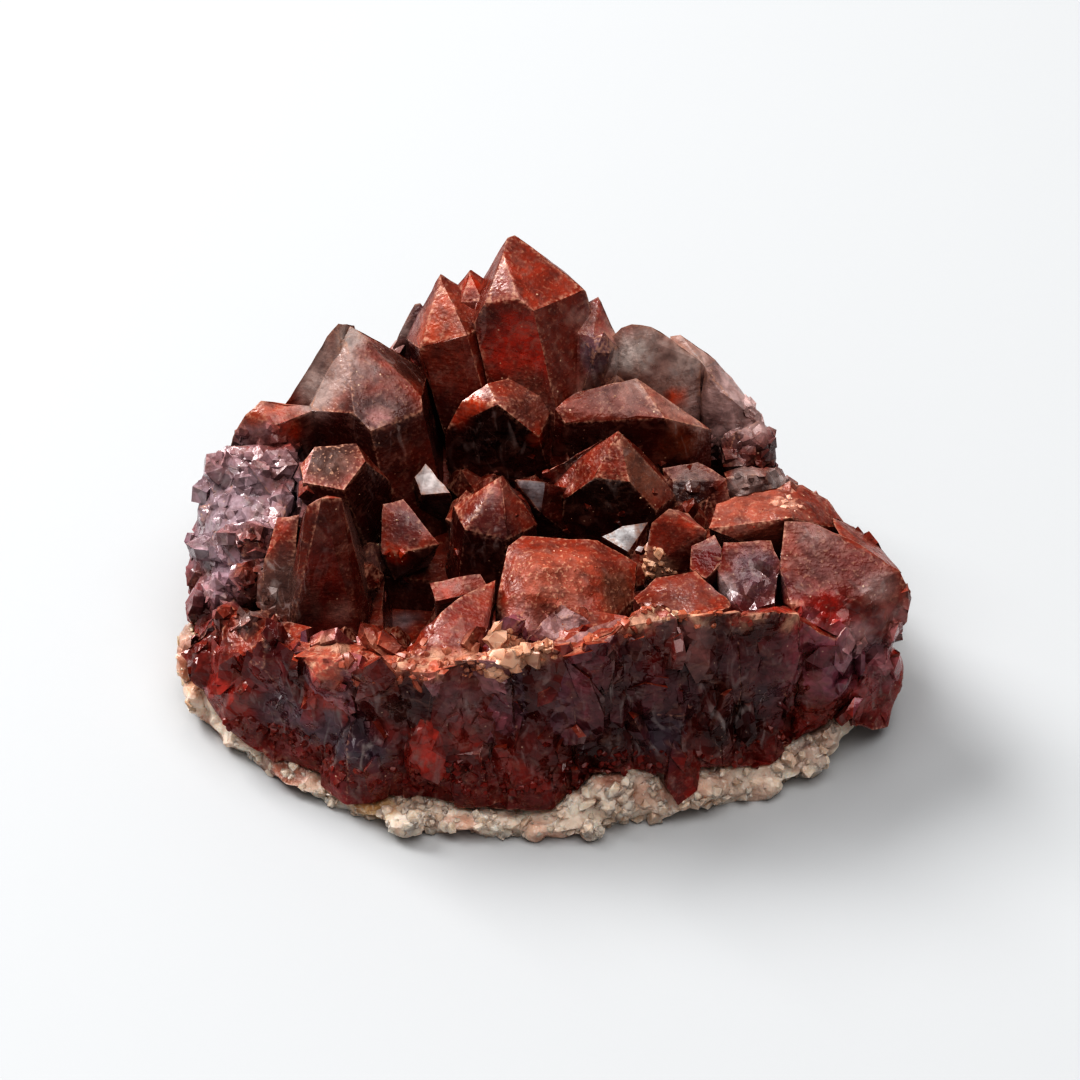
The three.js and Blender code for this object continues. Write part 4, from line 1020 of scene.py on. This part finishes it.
quartzFinish = {
    "patterns": {
        "clouds": (2.6, 2, 0.6, None),
        # dust is finer than this and is drawn as coarse as it needs to show
        "flecks": (0.35, 1, 0, None),
        "wisps": (2.2, 2, 1.8, (1, 1, 0.35)),
        "mottle": (0.8, 2, 0, None),
        "haze": (1.7, 2, 1.2, None),
        "bends": (3.0, 1, 1.6, (1, 1, 0.6)),
        "steps": (1.4, 1, 0, (0.25, 0.25, 5.0)),
    },
    "layers": [
        # cloudy inclusions darken the body, and grey and mauve clouds drift through the red
        ([("clouds", 0.4, 0.7, 0, 0.5)], "#3a120c"),
        ([("mottle", 0.45, 0.7, 0, 0.35)], "#2c0d0a"),
        ([("haze", 0.52, 0.7, 0, 0.4)], "#926a5e"),
        # in the clear and the broken parts, healed cracks show as thin curved lines and veils as pale smears
        ([("crack", 0, 0.014, 0.6, 0), ("clear", 0.12, 0.34, 0, 1), ("haze", 0.45, 0.6, 0, 1)], "#b5a2a0"),
        ([("wisps", 0.58, 0.72, 0, 1), ("clear", 0.05, 0.3, 0.08, 0.7)], "veil"),
        # pale and rusty dust lies in flecks, with specks of lint and grit; the specks also stand in for small
        # glints on the glassy wall, as painted highlights
        ([("flecks", 0.6, 0.68, 0, 1), ("dust", 0, 1, 0.02, 0.6)], "#c99f86"),
        # specks of lint, partly painted glints
        (
            [("cellDistance", 0.06, 0.1, 1, 0), ("cellChance", 0.6, 0.65, 0, 1), ("dust", 0, 0.3, 0.4, 0.8)],
            "#d8bda4",
        ),
        # worn edges are frosted, and painted lighter as painted edge highlights
        ([("edgeWearAndHighlight", 0.45, 1, 0, 0.62), ("flecks", 0.38, 0.62, 0, 1)], "#c89c86"),
    ],
    "clearness": [("clear",), ("clouds", 0.3, 0.7, 1, 0.7)],
    # dusty parts are rough, and there are dull patches in the gloss
    "dull": [("dust", 0, 0.8, 0.05, 0.56)],
    "patches": [("mottle", 0.4, 0.65, 0, 0.2), ("dust", 0, 0.2, 0.25, 1)],
    # growth steps run level round the crystals, and grit lies where it is dusty
    "steps": [("steps", 0, 1, 0, 0.3)],
    "grit": [("flecks",), ("dust", 0, 0.6, 0.35, 0.8)],
    "relief": {"Strength": 0.45, "Distance": 0.25 * mm},
    # where small crystals cover the stone its skin is a mosaic of little tilted facets, this wide in mm
    "growth": [("growth", 0, 1, 0.05, 1)],
    "facet": 1.15,
    "mosaic": {"Strength": 1.0, "Distance": 1.0},
    "shader": {"IOR": 1.544, "Metallic": 0.0},
    # the red that light takes on inside, and how fast
    "inside": {"Color": colourOf("#9a6a62"), "Density": 60.0},
}


def quartzMaterial():
    # red, smoky and purple quartz full of iron oxide: glossy, partly clear, dusty on top
    style = quartzFinish
    material, tree = newMaterial("hematite_quartz")
    sources = sourcesOf(tree, style["patterns"])
    skin = addNode(tree, "Attribute", {"attribute_name": "skin"})
    skin = addNode(tree, "SeparateColor", {"Color": skin})
    sources.update(zip(("clear", "dust", "edgeWearAndHighlight"), skin.outputs))
    sources["growth"] = addNode(tree, "Attribute", {"attribute_name": "growth"}).outputs["Fac"]
    bend = addNode(tree, "Math", {"operation": "SUBTRACT", 0: sources["bends"], 1: 0.5})
    sources["crack"] = addNode(tree, "Math", {"operation": "ABSOLUTE", 0: bend})
    cells, tilt = tiltedCells(tree, sources["place"], style["facet"])
    sources["cellDistance"] = cells.outputs["Distance"]
    sources["cellChance"] = addNode(tree, "SeparateColor", {"Color": cells.outputs["Color"]})
    dull, patches, steps, grit, growth = (
        readings(tree, sources, style[name]) for name in ("dull", "patches", "steps", "grit", "growth")
    )
    relief = addNode(tree, "Math", {"operation": "ADD", 0: steps, 1: grit})
    bump = addNode(tree, "Bump", {**style["relief"], "Height": relief})
    mosaic = addNode(tree, "Math", {"operation": "MULTIPLY", 0: tilt, 1: growth})
    bump = addNode(tree, "Bump", {**style["mosaic"], "Height": mosaic, "Normal": bump})
    shader = addNode(tree, "BsdfPrincipled", {
        **style["shader"],
        "Base Color": layered(tree, sources, style["layers"]),
        "Roughness": addNode(tree, "Math", {"operation": "ADD", 0: dull, 1: patches}),
        "Transmission Weight": readings(tree, sources, style["clearness"]),
        "Normal": bump,
    })
    inside = addNode(tree, "VolumeAbsorption", style["inside"])
    addNode(tree, "OutputMaterial", {"Surface": shader, "Volume": inside})
    return material


crustFinish = {
    "patterns": {"patches": (0.9, 3, 0, None)},
    "layers": [([("patches", 0.5, 0.7, 0, 0.6)], "#8a4434")],
    "shader": {
        "IOR": 1.544,
        "Metallic": 0.0,
        "Roughness": 0.35,
        "Subsurface Weight": 0.3,
        "Subsurface Radius": (1.0, 0.7, 0.5),
        "Subsurface Scale": 0.6 * mm,
    },
}


def crustMaterial():
    # cream to tan quartz crumbs, dull and slightly see-through
    material, tree = newMaterial("cream_crust")
    sources = sourcesOf(tree, crustFinish["patterns"])
    colour = layered(tree, sources, crustFinish["layers"])
    shader = addNode(tree, "BsdfPrincipled", {**crustFinish["shader"], "Base Color": colour})
    addNode(tree, "OutputMaterial", {"Surface": shader})
    return material


chalcedonyFinish = {
    "patterns": {"clouds": (2.0, 3, 0.4, None), "grain": (0.4, 2, 0, None)},
    "layers": [
        ([("clouds", 0.42, 0.7, 0, 0.5)], "#c49a84"),
        ([("grain", 0.58, 0.7, 0, 0.5)], "#efe6dc"),
    ],
    "relief": {"Strength": 0.5, "Distance": 0.3 * mm},
    # width of the tilted grains in mm
    "facet": 1.0,
    "mosaic": {"Strength": 0.8, "Distance": 1.0},
    "shader": {
        "IOR": 1.54,
        "Metallic": 0.0,
        "Roughness": 0.3,
        "Subsurface Weight": 0.5,
        "Subsurface Radius": (1.0, 0.75, 0.6),
        "Subsurface Scale": 1.5 * mm,
        "Transmission Weight": 0.1,
    },
}


def chalcedonyMaterial():
    # pale chalcedony and fine quartz: satin, slightly translucent, sugary with little tilted grains
    style = chalcedonyFinish
    material, tree = newMaterial("pale_chalcedony")
    sources = sourcesOf(tree, style["patterns"])
    bump = addNode(tree, "Bump", {**style["relief"], "Height": sources["grain"]})
    tilt = tiltedCells(tree, sources["place"], style["facet"])[1]
    bump = addNode(tree, "Bump", {**style["mosaic"], "Height": tilt, "Normal": bump})
    colour = layered(tree, sources, style["layers"])
    shader = addNode(tree, "BsdfPrincipled", {**style["shader"], "Base Color": colour, "Normal": bump})
    addNode(tree, "OutputMaterial", {"Surface": shader})
    return material


quartz = quartzMaterial()
crust = crustMaterial()
chalcedony = chalcedonyMaterial()
for piece, material, slot in (
    (crystalPiece, quartz, "quartz"),
    (drusePiece, quartz, "quartz"),
    (shardPiece, quartz, "quartz"),
    (crumbPiece, crust, "quartz"),
    (footPiece, crust, "quartz"),
    (matrixPiece, chalcedony, "matrix"),
    (grainPiece, chalcedony, "matrix"),
):
    piece.data.materials.append(material)
    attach(piece, "root")
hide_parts("crystal_cluster")
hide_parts("matrix")
print("materials done")


studio = {
    "sheet": "#b3b4b5",
    # light panels: name, place and size in m, and power in W
    "panels": [
        ("window", (-0.6, 0.4, 0.75), 0.5, 8.5),
        ("ceiling", (0.1, -0.1, 1.1), 1.0, 6.5),
    ],
    # where they aim, in m
    "aim": (0, 0, 0.01),
    "ambient": 0.25,
    # the camera looks down on a point in the middle of the stone: angle in degrees, distance in m
    "target": (0.0002, 0.0004, 0.012),
    "angle": 45,
    "distance": 0.26,
    # focal length and sensor width in mm
    "lens": 89.1,
    "sensor": 36,
}


def buildFloor():
    # matt white sheet
    bpy.ops.mesh.primitive_plane_add(size=4, location=(0, 0, 0))
    floor = bpy.context.object
    floor.name = "floor"
    material, tree = newMaterial("white_sheet")
    sheet = {"Base Color": colourOf(studio["sheet"]), "Roughness": 0.8, "Metallic": 0.0}
    shader = addNode(tree, "BsdfPrincipled", sheet)
    addNode(tree, "OutputMaterial", {"Surface": shader})
    floor.data.materials.append(material)
    floor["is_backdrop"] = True


def addPanel(name, place, size, power):
    light = bpy.data.lights.new(name, "AREA")
    light.size = size
    light.energy = power
    panel = bpy.data.objects.new(name, light)
    bpy.context.scene.collection.objects.link(panel)
    panel.location = place
    direction = np.array(studio["aim"]) - np.array(place)
    pitch = math.acos(-direction[2] / np.linalg.norm(direction))
    panel.rotation_euler = (pitch, 0, math.atan2(direction[1], direction[0]) - math.pi / 2)


def buildLight():
    world = bpy.data.worlds.new("studio")
    bpy.context.scene.world = world
    world.use_nodes = True
    background = world.node_tree.nodes["Background"]
    background.inputs["Color"].default_value = (1, 1, 1, 1)
    background.inputs["Strength"].default_value = studio["ambient"]
    for panel in studio["panels"]:
        addPanel(*panel)


def placeCamera():
    camera = bpy.data.cameras.new("camera")
    camera.lens = studio["lens"]
    camera.sensor_width = studio["sensor"]
    camera.clip_start = 0.01
    holder = bpy.data.objects.new("camera", camera)
    bpy.context.scene.collection.objects.link(holder)
    angle = math.radians(studio["angle"])
    back = studio["distance"] * np.array([0, -math.cos(angle), math.sin(angle)])
    holder.location = np.array(studio["target"]) + back
    holder.rotation_euler = (math.pi / 2 - angle, 0, 0)
    bpy.context.scene.camera = holder


buildFloor()
buildLight()
placeCamera()
bpy.context.scene.view_settings.view_transform = "Standard"
bpy.context.scene.view_settings.look = "Very High Contrast"
print("stage done")

writeSize("end")
